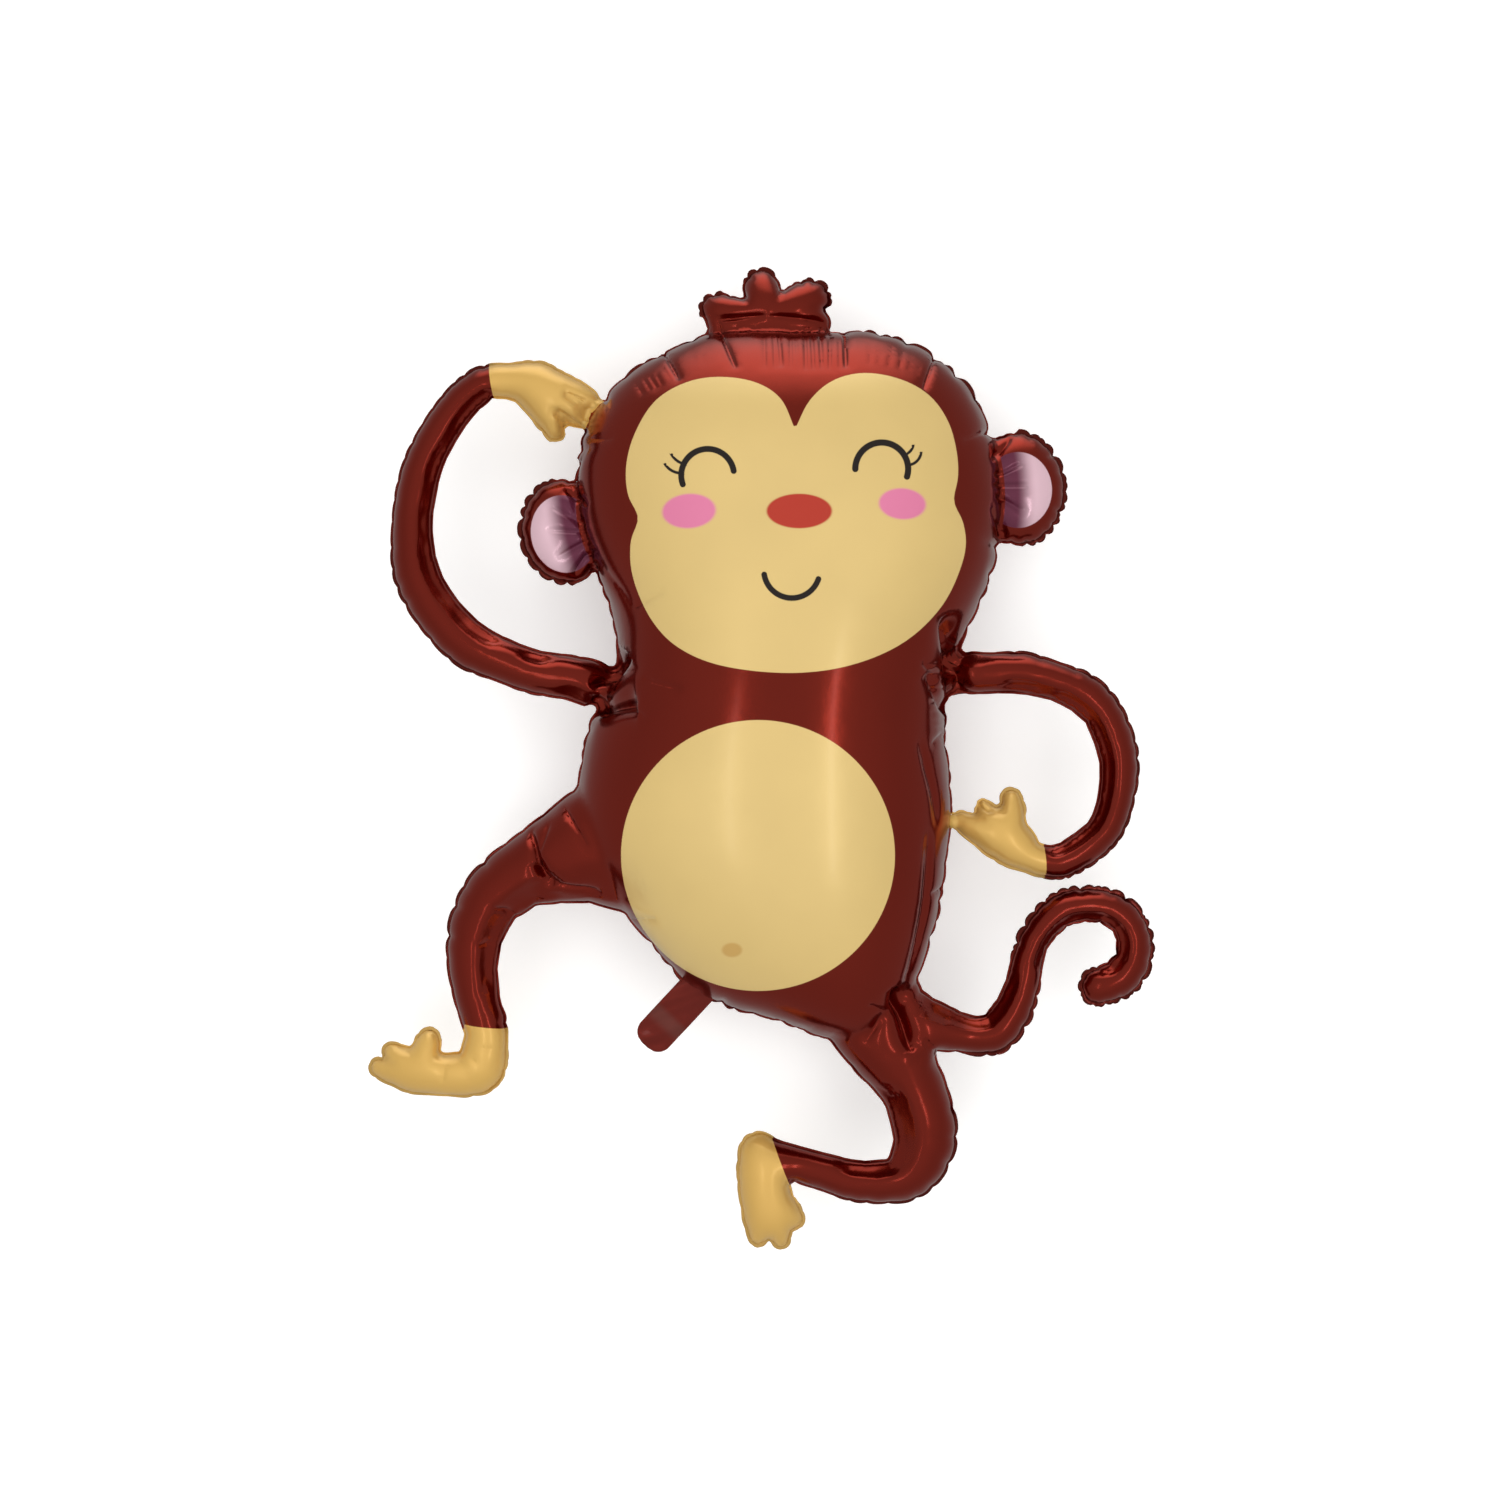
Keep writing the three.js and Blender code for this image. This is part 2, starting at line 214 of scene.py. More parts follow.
def smooth_line(points, step, closed=False):
    """A smooth line through the points, with a point about every step; all columns are kept."""
    points = np.array(points, float)
    if closed:
        before, after = points[-1:], points[:2]
    else:
        before, after = 2 * points[:1] - points[1:2], 2 * points[-1:] - points[-2:-1]
    knots = np.vstack([before, points, after])
    made = []
    for a, b, c, d in zip(knots[:-3], knots[1:-2], knots[2:-1], knots[3:]):
        ab, bc, cd = [max(np.linalg.norm(q[:2] - p[:2]), 1e-6) ** 0.5 for p, q in ((a, b), (b, c), (c, d))]
        leave = ((b - a) / ab - (c - a) / (ab + bc) + (c - b) / bc) * bc
        arrive = ((c - b) / bc - (d - b) / (bc + cd) + (d - c) / cd) * bc
        count = max(1, int(math.ceil(np.linalg.norm(c[:2] - b[:2]) / step)))
        t = np.linspace(0, 1, count, endpoint=False)[:, None]
        made.append((2 * t ** 3 - 3 * t ** 2 + 1) * b + (t ** 3 - 2 * t ** 2 + t) * leave
                    + (3 * t ** 2 - 2 * t ** 3) * c + (t ** 3 - t ** 2) * arrive)
    if not closed:
        made.append(points[-1:])
    return np.vstack(made)


def placed(points):
    """Drawn points in millimetres in the frame, with a half width scaled if there is one."""
    points = np.array(points, float) * UNIT
    points[:, :2] -= MIDDLE
    return points


def from_view(points):
    """Pixels of the photograph's view as millimetres on the plane of the seam."""
    points = np.array(points, float)
    scale = FRAME_SIZE / MM / FRAME_PIXELS
    flat = (points[:, :2] - FRAME_PIXELS / 2) * [scale, -scale] + FRAME_MIDDLE
    return np.hstack([flat, points[:, 2:]])


# The filled outline on the grid

# Cells further out than this from a limb are given one plain distance outside it.
LIMB_MARGIN = 16
FAR_OUTSIDE = -50.0
# Fillets between the fingers, toes or tips of the hair, and between a limb and its hand or foot
FINGER_FILLET = 5
WRIST_FILLET = 4


def join(field, other, fillet):
    """Joins another form into a field of inside distances, with a fillet in the corner between."""
    blend = np.maximum(fillet - np.abs(field - other), 0) / fillet
    return np.maximum(field, other) + blend ** 2 * fillet / 4


def tube_field(path, seam):
    """Inside distance to a tube whose half width changes along its line."""
    field = np.full((len(GRID_Y), len(GRID_X)), FAR_OUTSIDE)
    for x, y, half in smooth_line(placed(path), 1.5):
        half -= seam
        reach = half + LIMB_MARGIN
        columns = slice(*np.searchsorted(GRID_X, (x - reach, x + reach)))
        rows = slice(*np.searchsorted(GRID_Y, (y - reach, y + reach)))
        away = np.hypot(GRID_X[None, columns] - x, GRID_Y[rows, None] - y)
        field[rows, columns] = np.maximum(field[rows, columns], half - away)
    return field


def outline_field(outline):
    """Inside distance to a closed outline."""
    x, y = np.meshgrid(GRID_X, GRID_Y)
    least = np.full(x.shape, 1e9)
    inside = np.zeros(x.shape, bool)
    for (ax, ay), (bx, by) in zip(outline, np.roll(outline, -1, axis=0)):
        dx, dy = bx - ax, by - ay
        share = np.clip(((x - ax) * dx + (y - ay) * dy) / (dx * dx + dy * dy), 0, 1)
        np.minimum(least, (x - ax - share * dx) ** 2 + (y - ay - share * dy) ** 2, out=least)
        if ay != by:
            inside ^= ((ay > y) != (by > y)) & (x < (bx - ax) * (y - ay) / (by - ay) + ax)
    return np.where(inside, 1, -1) * np.sqrt(least)


def ear_outline(x, y, wide, high, tilt):
    """The tilted ellipse of one ear."""
    turn = np.linspace(0, 2 * math.pi, 48, endpoint=False)
    tilt = math.radians(tilt)
    across, up = wide * np.cos(turn), high * np.sin(turn)
    return placed(np.stack([x + across * math.cos(tilt) - up * math.sin(tilt),
                            y + across * math.sin(tilt) + up * math.cos(tilt)], axis=1))


def group_field(paths, seam):
    """Inside distance to a hand, a foot or the hair."""
    field = tube_field(paths[0], seam)
    for path in paths[1:]:
        field = join(field, tube_field(path, seam), FINGER_FILLET)
    return field


def figure_fields(seam):
    """Inside distances to the trunk, each arm and leg, each hand and foot, all limbs, and the ears."""
    trunk = outline_field(smooth_line(placed(TRUNK_EDGE), 8, closed=True)) - seam
    tubes = [tube_field(path, seam) for path in ARMS + LEGS]
    ends = [group_field(paths, seam) for paths in HANDS + FEET]
    limbs = np.maximum(group_field(TUFT, seam), tube_field(TAIL, seam))
    for tube, end in zip(tubes, ends):
        limbs = np.maximum(limbs, join(tube, end, WRIST_FILLET))
    ears = np.maximum(*[outline_field(ear_outline(*ear)) - seam for ear in EARS])
    return trunk, tubes, ends, limbs, ears


# How far the film fills out

# A wide part fills out less than a round tube would, past about this width.
FILL_REACH = 132.0
# The ears are blown up less, as a share of the square of their depth.
EAR_FULLNESS = 0.6
# The solver's first guess is how steeply the square rises from the edge of a thin limb. Each sweep
# overshoots by a factor, and there are so many on a coarse grid and then on the fine one.
FIRST_SLOPE = 60
OVERSHOOT = 1.93
COARSE = 4
COARSE_SWEEPS, FINE_SWEEPS = 160, 170
# Up to this depth inside the outline the slope is evened out, so many times, and it is carried so
# many cells outwards. From the next depth on, and over the one after it, the solved values take over.
EVEN_DEPTH = 16
EVEN_ROUNDS, OUTWARD_ROUNDS = 3, 7
SOLVED_FROM, SOLVED_OVER = 3, 9
# Fillets in the valleys beside the limbs and the ears, where the film is at least this deep
LIMB_VALLEY, EAR_VALLEY = 4, 2
VALLEY_LEAST = 20.0


def shifted_sum(values):
    """The sum of the eight neighbours of every cell."""
    total = np.zeros_like(values)
    for row in (-1, 0, 1):
        for column in (-1, 0, 1):
            if row or column:
                total += np.roll(values, (row, column), (0, 1))
    return total


def mean_around(values, known):
    """The mean of the known cells in and round each cell, and how many there are."""
    count = shifted_sum(known) + known
    return (shifted_sum(values * known) + values * known) / np.maximum(count, 1), count


def relax(square, inside, spacing, sweeps):
    """Solves for the square of the half depth: a film under pressure, held along its outline."""
    parity = np.add.outer(np.arange(inside.shape[0]), np.arange(inside.shape[1])) % 2
    scale = 4 + (spacing / FILL_REACH) ** 2
    for _ in range(sweeps):
        for other in (0, 1):
            cells = inside & (parity == other)
            total = (np.roll(square, 1, 0) + np.roll(square, -1, 0)
                     + np.roll(square, 1, 1) + np.roll(square, -1, 1))
            wanted = (total + 2 * spacing ** 2) / scale
            square[cells] += OVERSHOOT * (wanted[cells] - square[cells])
    return square


def filled_square(field):
    """The square of one form's filled half depth over the grid, below zero outside its outline."""
    inside = field > 0
    coarse_field, coarse_inside = field[::COARSE, ::COARSE], inside[::COARSE, ::COARSE]
    coarse = relax(np.where(coarse_inside, FIRST_SLOPE * coarse_field, 0), coarse_inside,
                   COARSE * GRID, COARSE_SWEEPS)
    rough = np.kron(coarse, np.ones((COARSE, COARSE)))[:field.shape[0], :field.shape[1]]
    solved = relax(np.where(inside, rough, 0), inside, GRID, FINE_SWEEPS)
    # The solved edge is stepped along the grid, half a cell outside the outline. So near the
    # outline the slope is evened out and carried outwards, and the outline itself stays exact.
    slope = np.where(inside, solved / np.where(inside, field + GRID / 2, 1), 0)
    known = inside.astype(float)
    for _ in range(EVEN_ROUNDS):
        mean, _count = mean_around(slope, known)
        slope = np.where(inside & (field < EVEN_DEPTH), mean, slope)
    for _ in range(OUTWARD_ROUNDS):
        mean, count = mean_around(slope, known)
        reached = (known == 0) & (count > 0)
        slope[reached] = mean[reached]
        known[reached] = 1
    inner = np.clip((field - SOLVED_FROM) / SOLVED_OVER, 0, 1)
    inner = inner * inner * (3 - 2 * inner)
    drawn = np.where(known > 0, slope, FIRST_SLOPE) * field
    return drawn + inner * (solved - drawn)


def join_squares(a, b, fillet):
    """One filled form grown into another, with a soft valley along the line where they meet."""
    reach = 2 * fillet * np.sqrt(np.maximum(np.maximum(a, b), VALLEY_LEAST ** 2))
    blend = np.maximum(reach - np.abs(a - b), 0) / reach
    return np.maximum(a, b) + blend ** 2 * reach / 4


def sample(values, x, y):
    """A grid's values at points, straight between its cells."""
    across = np.clip((x - GRID_X[0]) / GRID, 0, len(GRID_X) - 1.001)
    up = np.clip((y - GRID_Y[0]) / GRID, 0, len(GRID_Y) - 1.001)
    column, row = across.astype(int), up.astype(int)
    fx, fy = across - column, up - row
    return ((values[row, column] * (1 - fx) + values[row, column + 1] * fx) * (1 - fy)
            + (values[row + 1, column] * (1 - fx) + values[row + 1, column + 1] * fx) * fy)


# The film's mesh

# The first rough body is this much smaller than the figure, so that near limbs stay apart.
ROUGH_INSET = 1.8
ROUGH_LEAST = 2.0
# The furthest that one step moves a point on its way to the surface, how many steps there are, and
# how many rounds of spreading the vertices out
STEP_MOST = 4.0
SURFACE_STEPS = 4
FIRST_ROUNDS, LATER_ROUNDS = 5, 2
# Round the tip between the brows the mesh is fine out to here, in millimetres.
TIP_REACH = 14.0
# The back stays as coarse as it was, below this depth.
BACK_DEPTH = -12.0
# Faces are cut finer where the gathers, the single creases or the folds press them in by more than
# these depths, and once more where they do so by more than the second three.
FINER = [(0.5, 0.12, 0.3), (1.8, 0.35, 9.0)]


def link_mesh(name, vertices, faces):
    """A new object from vertices in millimetres."""
    mesh = bpy.data.meshes.new(name)
    mesh.from_pydata((np.asarray(vertices) * MM).tolist(), [], np.asarray(faces).tolist())
    mesh.update()
    thing = bpy.data.objects.new(name, mesh)
    bpy.context.collection.objects.link(thing)
    return thing


def only(thing):
    """Selects one object and makes it active."""
    bpy.ops.object.select_all(action="DESELECT")
    thing.select_set(True)
    bpy.context.view_layer.objects.active = thing


def block_body(field, square):
    """A rough closed body of the figure, stepped along the grid and a little small."""
    coarse = field[::2, ::2] - ROUGH_INSET
    height = np.sqrt(np.maximum(square[::2, ::2], ROUGH_LEAST))
    x, y = np.meshgrid(GRID_X[::2], GRID_Y[::2])
    number = np.arange(x.size).reshape(x.shape)
    kept = (coarse[:-1, :-1] + coarse[1:, :-1] + coarse[:-1, 1:] + coarse[1:, 1:]) > 0
    rows, columns = np.nonzero(kept)
    corners = np.stack([number[rows, columns], number[rows, columns + 1],
                        number[rows + 1, columns + 1], number[rows + 1, columns]], axis=1)
    faces = [corners, corners[:, ::-1] + x.size]
    around = np.pad(kept, 1)
    sides = (((-1, 0), (0, 1)), ((0, 1), (1, 2)), ((1, 0), (2, 3)), ((0, -1), (3, 0)))
    for (down, right), (a, b) in sides:
        open_side = ~around[rows + 1 + down, columns + 1 + right]
        start, end = corners[open_side][:, a], corners[open_side][:, b]
        faces.append(np.stack([end, start, start + x.size, end + x.size], axis=1))
    faces = np.vstack(faces)
    flat = np.stack([x.ravel(), y.ravel()], axis=1)
    front, back = [np.column_stack([flat, way * height.ravel()]) for way in (1, -1)]
    vertices = np.vstack([front, back])
    used, faces = np.unique(faces, return_inverse=True)
    return link_mesh("balloon_film", vertices[used], faces.reshape(-1, 4))


def read(parts, name, width=1, kind=np.int32):
    """One value, or a few, of each of a mesh's vertices, edges, corners or faces."""
    flat = np.empty(len(parts) * width, dtype=kind)
    parts.foreach_get(name, flat)
    return flat.reshape(-1, width) if width > 1 else flat


def coordinates(thing):
    """An object's vertices in millimetres."""
    return read(thing.data.vertices, "co", 3, float) / MM


def set_coordinates(thing, points):
    """Moves an object's vertices to these places in millimetres."""
    thing.data.vertices.foreach_set("co", (points * MM).ravel())
    thing.data.update()


def neighbour_mean(points, pairs):
    """The middle of each vertex's neighbours along the edges."""
    ends = np.concatenate([pairs[:, 0], pairs[:, 1]])
    others = np.concatenate([pairs[:, 1], pairs[:, 0]])
    count = np.maximum(np.bincount(ends, minlength=len(points)), 1)
    sums = [np.bincount(ends, weights=points[others, k], minlength=len(points)) for k in range(3)]
    return np.stack(sums, axis=1) / count[:, None]


def film_slope(points, slopes):
    """Which way is out of the surface where z squared is the filled square."""
    x, y, z = points.T
    return np.stack([-sample(slopes[1], x, y), -sample(slopes[0], x, y), 2 * z], axis=1)


def onto_film(points, square, slopes):
    """Moves points onto the surface where z squared is the filled square."""
    for _ in range(SURFACE_STEPS):
        gap = points[:, 2] ** 2 - sample(square, points[:, 0], points[:, 1])
        slope = film_slope(points, slopes)
        step = slope * (gap / np.maximum((slope ** 2).sum(axis=1), 4.0))[:, None]
        reach = np.linalg.norm(step, axis=1)
        step *= np.minimum(1, STEP_MOST / np.maximum(reach, 1e-9))[:, None]
        points = points - step
    return points


def settle(thing, square, slopes, rounds):
    """Spreads the vertices evenly and keeps them on the filled surface."""
    pairs = read(thing.data.edges, "vertices", 2)
    points = onto_film(coordinates(thing), square, slopes)
    for _ in range(rounds):
        points = points + 0.5 * (neighbour_mean(points, pairs) - points)
        points = onto_film(points, square, slopes)
    set_coordinates(thing, points)
    return points


def refine(thing, chosen):
    """Cuts the faces whose vertices are all chosen into four."""
    only(thing)
    thing.data.vertices.foreach_set("select", np.zeros(len(thing.data.vertices), bool))
    thing.data.edges.foreach_set("select", np.zeros(len(thing.data.edges), bool))
    corners = chosen[read(thing.data.loops, "vertex_index")]
    starts = read(thing.data.polygons, "loop_start")
    thing.data.polygons.foreach_set("select", np.minimum.reduceat(corners, starts))
    bpy.ops.object.mode_set(mode="EDIT")
    bpy.ops.mesh.select_mode(type="FACE")
    bpy.ops.mesh.subdivide(number_cuts=1)
    bpy.ops.object.mode_set(mode="OBJECT")


def film_mesh(field, square, slopes, spacing):
    """The smooth filled body, evenly meshed."""
    thing = block_body(field, square)
    only(thing)
    thing.data.remesh_voxel_size = spacing
    bpy.ops.object.voxel_remesh()
    settle(thing, square, slopes, FIRST_ROUNDS)
    return thing


def crease_mesh(thing, made):
    """A finer mesh where valleys are pressed in, and finer again where they are deep."""
    for least_gather, least_crease, least_fold in FINER:
        points = coordinates(thing)
        chosen = press(points, made["gathers"]) > least_gather
        chosen |= press(points, made["front"]) > least_crease
        chosen |= fold_depth(points, made["folds"]) + facet_depth(points, made["facets"]) > least_fold
        tip = np.hypot(*(points[:, :2] - from_view(FACE_OUTLINE[:1])[0]).T) < TIP_REACH
        refine(thing, (chosen | tip) & (points[:, 2] > BACK_DEPTH))
        settle(thing, made["square"], made["slopes"], LATER_ROUNDS)


# The seam line

# Fewest points of a closed line, and their spacing along the seam
LEAST_POINTS = 12
SEAM_STEP = 2.4
# How often the line is smoothed, and the furthest that it moves back to the film's edge each time
SEAM_ROUNDS = 8
SEAM_MOVE = 0.6
# The film's radius is read this far inside the edge, and the bend over so many points each way.
RADIUS_INSET = 3.0
BEND_POINTS = 3


def seam_loops(film):
    """Closed lines of x and y where the two films meet."""
    cut = film.copy()
    cut.data = film.data.copy()
    bpy.context.collection.objects.link(cut)
    only(cut)
    bpy.ops.object.mode_set(mode="EDIT")
    bpy.ops.mesh.select_all(action="SELECT")
    bpy.ops.mesh.bisect(plane_co=(0, 0, 0), plane_no=(0, 0, 1), clear_inner=True, clear_outer=True)
    bpy.ops.object.mode_set(mode="OBJECT")
    points, pairs = coordinates(cut), read(cut.data.edges, "vertices", 2)
    bpy.data.objects.remove(cut)
    ways = {}
    for a, b in pairs.tolist():
        ways.setdefault(a, []).append(b)
        ways.setdefault(b, []).append(a)
    loops, seen = [], set()
    for start in ways:
        if start in seen:
            continue
        chain, here = [start], ways[start][0]
        seen.add(start)
        while here not in seen:
            seen.add(here)
            chain.append(here)
            here = next((n for n in ways[here] if n not in seen), start)
        if len(chain) > LEAST_POINTS:
            loops.append(points[chain, :2])
    return loops


def even_loop(loop):
    """A closed line with its points spread evenly."""
    closed = np.vstack([loop, loop[:1]])
    along = np.concatenate([[0], np.cumsum(np.linalg.norm(np.diff(closed, axis=0), axis=1))])
    count = max(LEAST_POINTS, int(round(along[-1] / SEAM_STEP)))
    at = np.arange(count) * along[-1] / count
    return np.stack([np.interp(at, along, closed[:, k]) for k in (0, 1)], axis=1)


def blurred(values, width):
    """A closed line's values, smoothed over so many points each way."""
    total = np.zeros_like(values)
    for shift in range(-width, width + 1):
        total += np.roll(values, shift, 0)
    return total / (2 * width + 1)


class SeamLine:
    """One closed seam, with the film kept on its left."""

    def __init__(self, loop, square, slopes):
        def rise(line):
            """Which way over the plane of the seam the filled square rises, and how steeply."""
            return np.stack([sample(slopes[1], *line.T), sample(slopes[0], *line.T)], axis=1)

        loop = even_loop(loop)
        for _ in range(SEAM_ROUNDS):
            loop = 0.5 * loop + 0.25 * (np.roll(loop, 1, 0) + np.roll(loop, -1, 0))
            slope = rise(loop)
            steep = np.maximum(np.linalg.norm(slope, axis=1), 1)
            gap = np.clip(sample(square, *loop.T) / steep, -SEAM_MOVE, SEAM_MOVE) / steep
            loop = even_loop(loop - slope * gap[:, None])
        slope = rise(loop)
        ahead = np.roll(loop, -1, 0) - np.roll(loop, 1, 0)
        if (ahead[:, 0] * slope[:, 1] - ahead[:, 1] * slope[:, 0]).sum() < 0:
            loop = loop[::-1].copy()
        self.points = loop
        self.step = np.linalg.norm(np.roll(loop, -1, 0) - loop, axis=1).mean()
        self.length = len(loop) * self.step
        ahead = np.roll(loop, -2, 0) - np.roll(loop, 2, 0)
        ahead /= np.linalg.norm(ahead, axis=1)[:, None]
        self.outward = np.stack([ahead[:, 1], -ahead[:, 0]], axis=1)
        after, before = np.roll(ahead, -BEND_POINTS, 0), np.roll(ahead, BEND_POINTS, 0)
        turn = before[:, 0] * after[:, 1] - before[:, 1] * after[:, 0]
        self.bend = blurred(np.arcsin(np.clip(turn, -1, 1)) / (2 * BEND_POINTS * self.step), 2)
        # Close to its edge a filled film is as round as a tube of this radius.
        inner = loop - self.outward * RADIUS_INSET
        self.radius = blurred((sample(square, *inner.T) + RADIUS_INSET ** 2) / (2 * RADIUS_INSET), 3)

    def at(self, along):
        """Point, outward direction, bend and radius at a length along the seam."""
        i = int(along / self.step) % len(self.points)
        return self.points[i], self.outward[i], self.bend[i], self.radius[i]


# Gathers and creases, each a valley pressed into the film

GATHER, CREASE = 0, 1
# A film is thick from this radius on, and fully so over this much more.
THICK_FROM, THICK_OVER = 16, 40
# A seam gathers fully where it bends outwards or inwards as tightly as these radii, and by the least
# share where it runs straight, on a thin part and more on a thick one.
OUTER_BEND, INNER_BEND = 130, 28
LEAST_GATHER, THICK_GATHER = 0.12, 0.4
# Sizes of a gather: share of the film's radius, least and greatest, and how much more on a thick part
GATHER_PITCH = (1.1, 13, 23, 9)
GATHER_DEPTH = (0.14, 0.9, 3.2, 1.2)
GATHER_REACH = (2.0, 16, 48, 30)
# Half width of a gather, as a share of the pitch, and how far its way inwards strays
GATHER_HALF = 0.17
GATHER_SKEW = 0.12
# A shorter gather between two others: how often, and its reach, depth and half width
SMALL_GATHER = (0.5, 0.45, 0.5, 0.12)
# The gathers of hands and feet, and of arms and legs, are this much shallower.
BARE_GATHER = 0.4
LIMB_GATHER = 0.6
# How far inside an arm's or a leg's outline a point counts as on it, and over how far it fades
LIMB_EDGE, LIMB_FADE = 10, 4
# A valley's half width at its start and how much more at its end, its rounded floor, and how many
# half widths to each side it is felt, all as shares of its half width
VALLEY_START, VALLEY_MORE = 0.75, 0.6
VALLEY_FLOOR = 0.35
VALLEY_FELT = 5
# Creases fade out over this height across the seam.
FRONT_FADE = 8


def on_limb(points, made):
    """How surely each point lies on an arm or a leg or at its edge, from 0 to 1."""
    inside = np.max([sample(tube, *points[:, :2].T) for tube in made["tubes"]], axis=0)
    return np.clip((inside + LIMB_EDGE) / LIMB_FADE, 0, 1)


def gather_size(rule, radius, thick):
    """One size of a gather on a film of this radius."""
    share, least, most, more = rule
    return np.clip(share * radius, least, most) + more * thick


def gathers(made, chance, strength):
    """The valleys that run in from the seam where the film has length to spare."""
    valleys = []
    often, small_reach, small_depth, small_half = SMALL_GATHER
    for seam in made["seams"]:
        along = chance.uniform(0, 10)
        while along < seam.length:
            start, outward, bend, radius = seam.at(along)
            thick = np.clip((radius - THICK_FROM) / THICK_OVER, 0, 1)
            tight = max(bend * OUTER_BEND, -bend * INNER_BEND)
            gather = np.clip(tight, LEAST_GATHER + THICK_GATHER * thick, 1)
            pitch = gather_size(GATHER_PITCH, radius, thick)
            depth = gather * gather_size(GATHER_DEPTH, radius, thick)
            reach = gather * gather_size(GATHER_REACH, radius, thick)
            depth *= strength * chance.uniform(0.55, 1.3)
            place = np.append(start, 0)[None]
            limb = on_limb(place, made)[0]
            depth *= BARE_GATHER if skin_inside(place, made)[0] > 0 else 1 - (1 - LIMB_GATHER) * limb
            reach *= chance.uniform(0.6, 1.25)
            skew = chance.normal(0, GATHER_SKEW)
            inward = -outward + skew * np.array([outward[1], -outward[0]])
            inward /= np.linalg.norm(inward)
            valleys.append((GATHER, start, inward, reach, depth, pitch * GATHER_HALF))
            if chance.uniform() < often * (1 - limb):
                start, outward, _bend, _radius = seam.at(along + pitch * 0.5)
                valleys.append((GATHER, start, -outward, reach * small_reach, depth * small_depth,
                                pitch * small_half))
            along += pitch * chance.uniform(0.75, 1.3)
    return valleys


def front_share(z):
    """How surely a point at this height over the seam is on the front, from 0 to 1."""
    return np.clip(0.5 + z / FRONT_FADE, 0, 1)


def press(points, valleys):
    """How deep each point is pressed in by all the valleys together."""
    order = np.argsort(points[:, 0])
    across = points[order, 0]
    depth_at = np.zeros(len(points))
    for kind, start, inward, reach, depth, half in valleys:
        end = start + inward * reach
        margin = VALLEY_FELT * half
        least, most = np.minimum(start, end) - margin, np.maximum(start, end) + margin
        low, high = np.searchsorted(across, (least[0], most[0]))
        picked = order[low:high]
        picked = picked[(points[picked, 1] > least[1]) & (points[picked, 1] < most[1])]
        away = points[picked, :2] - start
        z = points[picked, 2]
        u = away @ inward
        v = away @ np.array([-inward[1], inward[0]])
        if kind == GATHER:
            t = np.clip(np.hypot(np.maximum(u, 0), z) / reach, 0, 1)
            fade = (1 - t * t) ** 2
        else:
            t = np.clip(u / reach, 0, 1)
            fade = (1 - (2 * t - 1) ** 4) * front_share(z)
        floor = VALLEY_FLOOR * half
        valley = np.exp((floor - np.hypot(v, floor)) / (half * (VALLEY_START + VALLEY_MORE * t)))
        depth_at[picked] += depth * valley * fade
    return depth_at


# Single creases that show on the front: start, end, depth and half width, in pixels of the view
FRONT_CREASES = [
    (716, 322, 737, 382, 3.8, 1.7), (843, 328, 843, 382, 3.6, 1.6), (938, 348, 918, 402, 3.8, 1.7),
    (659, 344, 682, 392, 3.8, 1.7), (998, 429, 955, 449, 2.2, 1.8), (586, 442, 618, 447, 1.6, 1.8),
    (634, 613, 669, 597, 2.0, 1.8), (645, 681, 686, 692, 2.6, 2.0), (622, 702, 650, 719, 2.4, 2.0),
    (565, 804, 592, 848, 3.4, 2.2), (542, 850, 552, 820, 2.2, 2.2), (532, 828, 546, 880, 7.0, 3.0),
    (926, 747, 943, 732, 2.2, 2.0), (928, 892, 946, 887, 2.4, 2.0), (632, 919, 660, 915, 1.8, 1.6),
    (866, 999, 888, 1011, 2.6, 2.0), (939, 626, 960, 648, 3.4, 2.4), (916, 664, 938, 684, 3.0, 2.4),
    (487, 903, 520, 917, 2.6, 2.0), (474, 945, 500, 942, 1.8, 1.8), (477, 993, 490, 989, 1.4, 1.6),
    (466, 1046, 500, 1048, 1.2, 1.6), (469, 1054, 483, 1067, 1.6, 1.8), (446, 1060, 443, 1084, 1.6, 1.8),
    (586, 708, 640, 704, 16.0, 6.5), (592, 690, 630, 654, 14.0, 6.0),
    (962, 710, 944, 616, 17.0, 6.5), (948, 716, 924, 674, 9.0, 4.5),
    (896, 982, 912, 1050, 20.0, 7.5), (882, 1010, 862, 1040, 4.0, 3.0),
    (588, 528, 550, 506, 4.0, 2.6), (588, 534, 546, 532, 4.0, 2.6), (590, 542, 558, 560, 4.0, 2.6),
    (590, 512, 566, 488, 5.0, 2.6), (592, 552, 574, 578, 5.0, 2.6),
    (990, 480, 1024, 464, 4.0, 2.6), (988, 488, 1030, 488, 4.0, 2.6), (990, 496, 1024, 516, 4.0, 2.6),
    (988, 466, 1010, 436, 5.0, 2.6), (988, 510, 1004, 540, 5.0, 2.6),
    (536, 860, 556, 890, 10.0, 4.6), (550, 884, 604, 894, 5.0, 2.8),
    (712, 323, 768, 320, 5.0, 3.0), (766, 320, 828, 325, 5.0, 3.0),
    (590, 404, 564, 394, 4.0, 2.8), (580, 428, 556, 412, 4.0, 2.8),
    (968, 800, 992, 812, 4.0, 2.8), (986, 786, 1000, 806, 4.0, 2.8),
]


def crease(line, depth, half):
    """A straight valley on the front, between two points in pixels of the view."""
    start, end = from_view(np.reshape(line, (2, 2)))
    reach = np.linalg.norm(end - start)
    return CREASE, start, (end - start) / reach, reach, depth, half


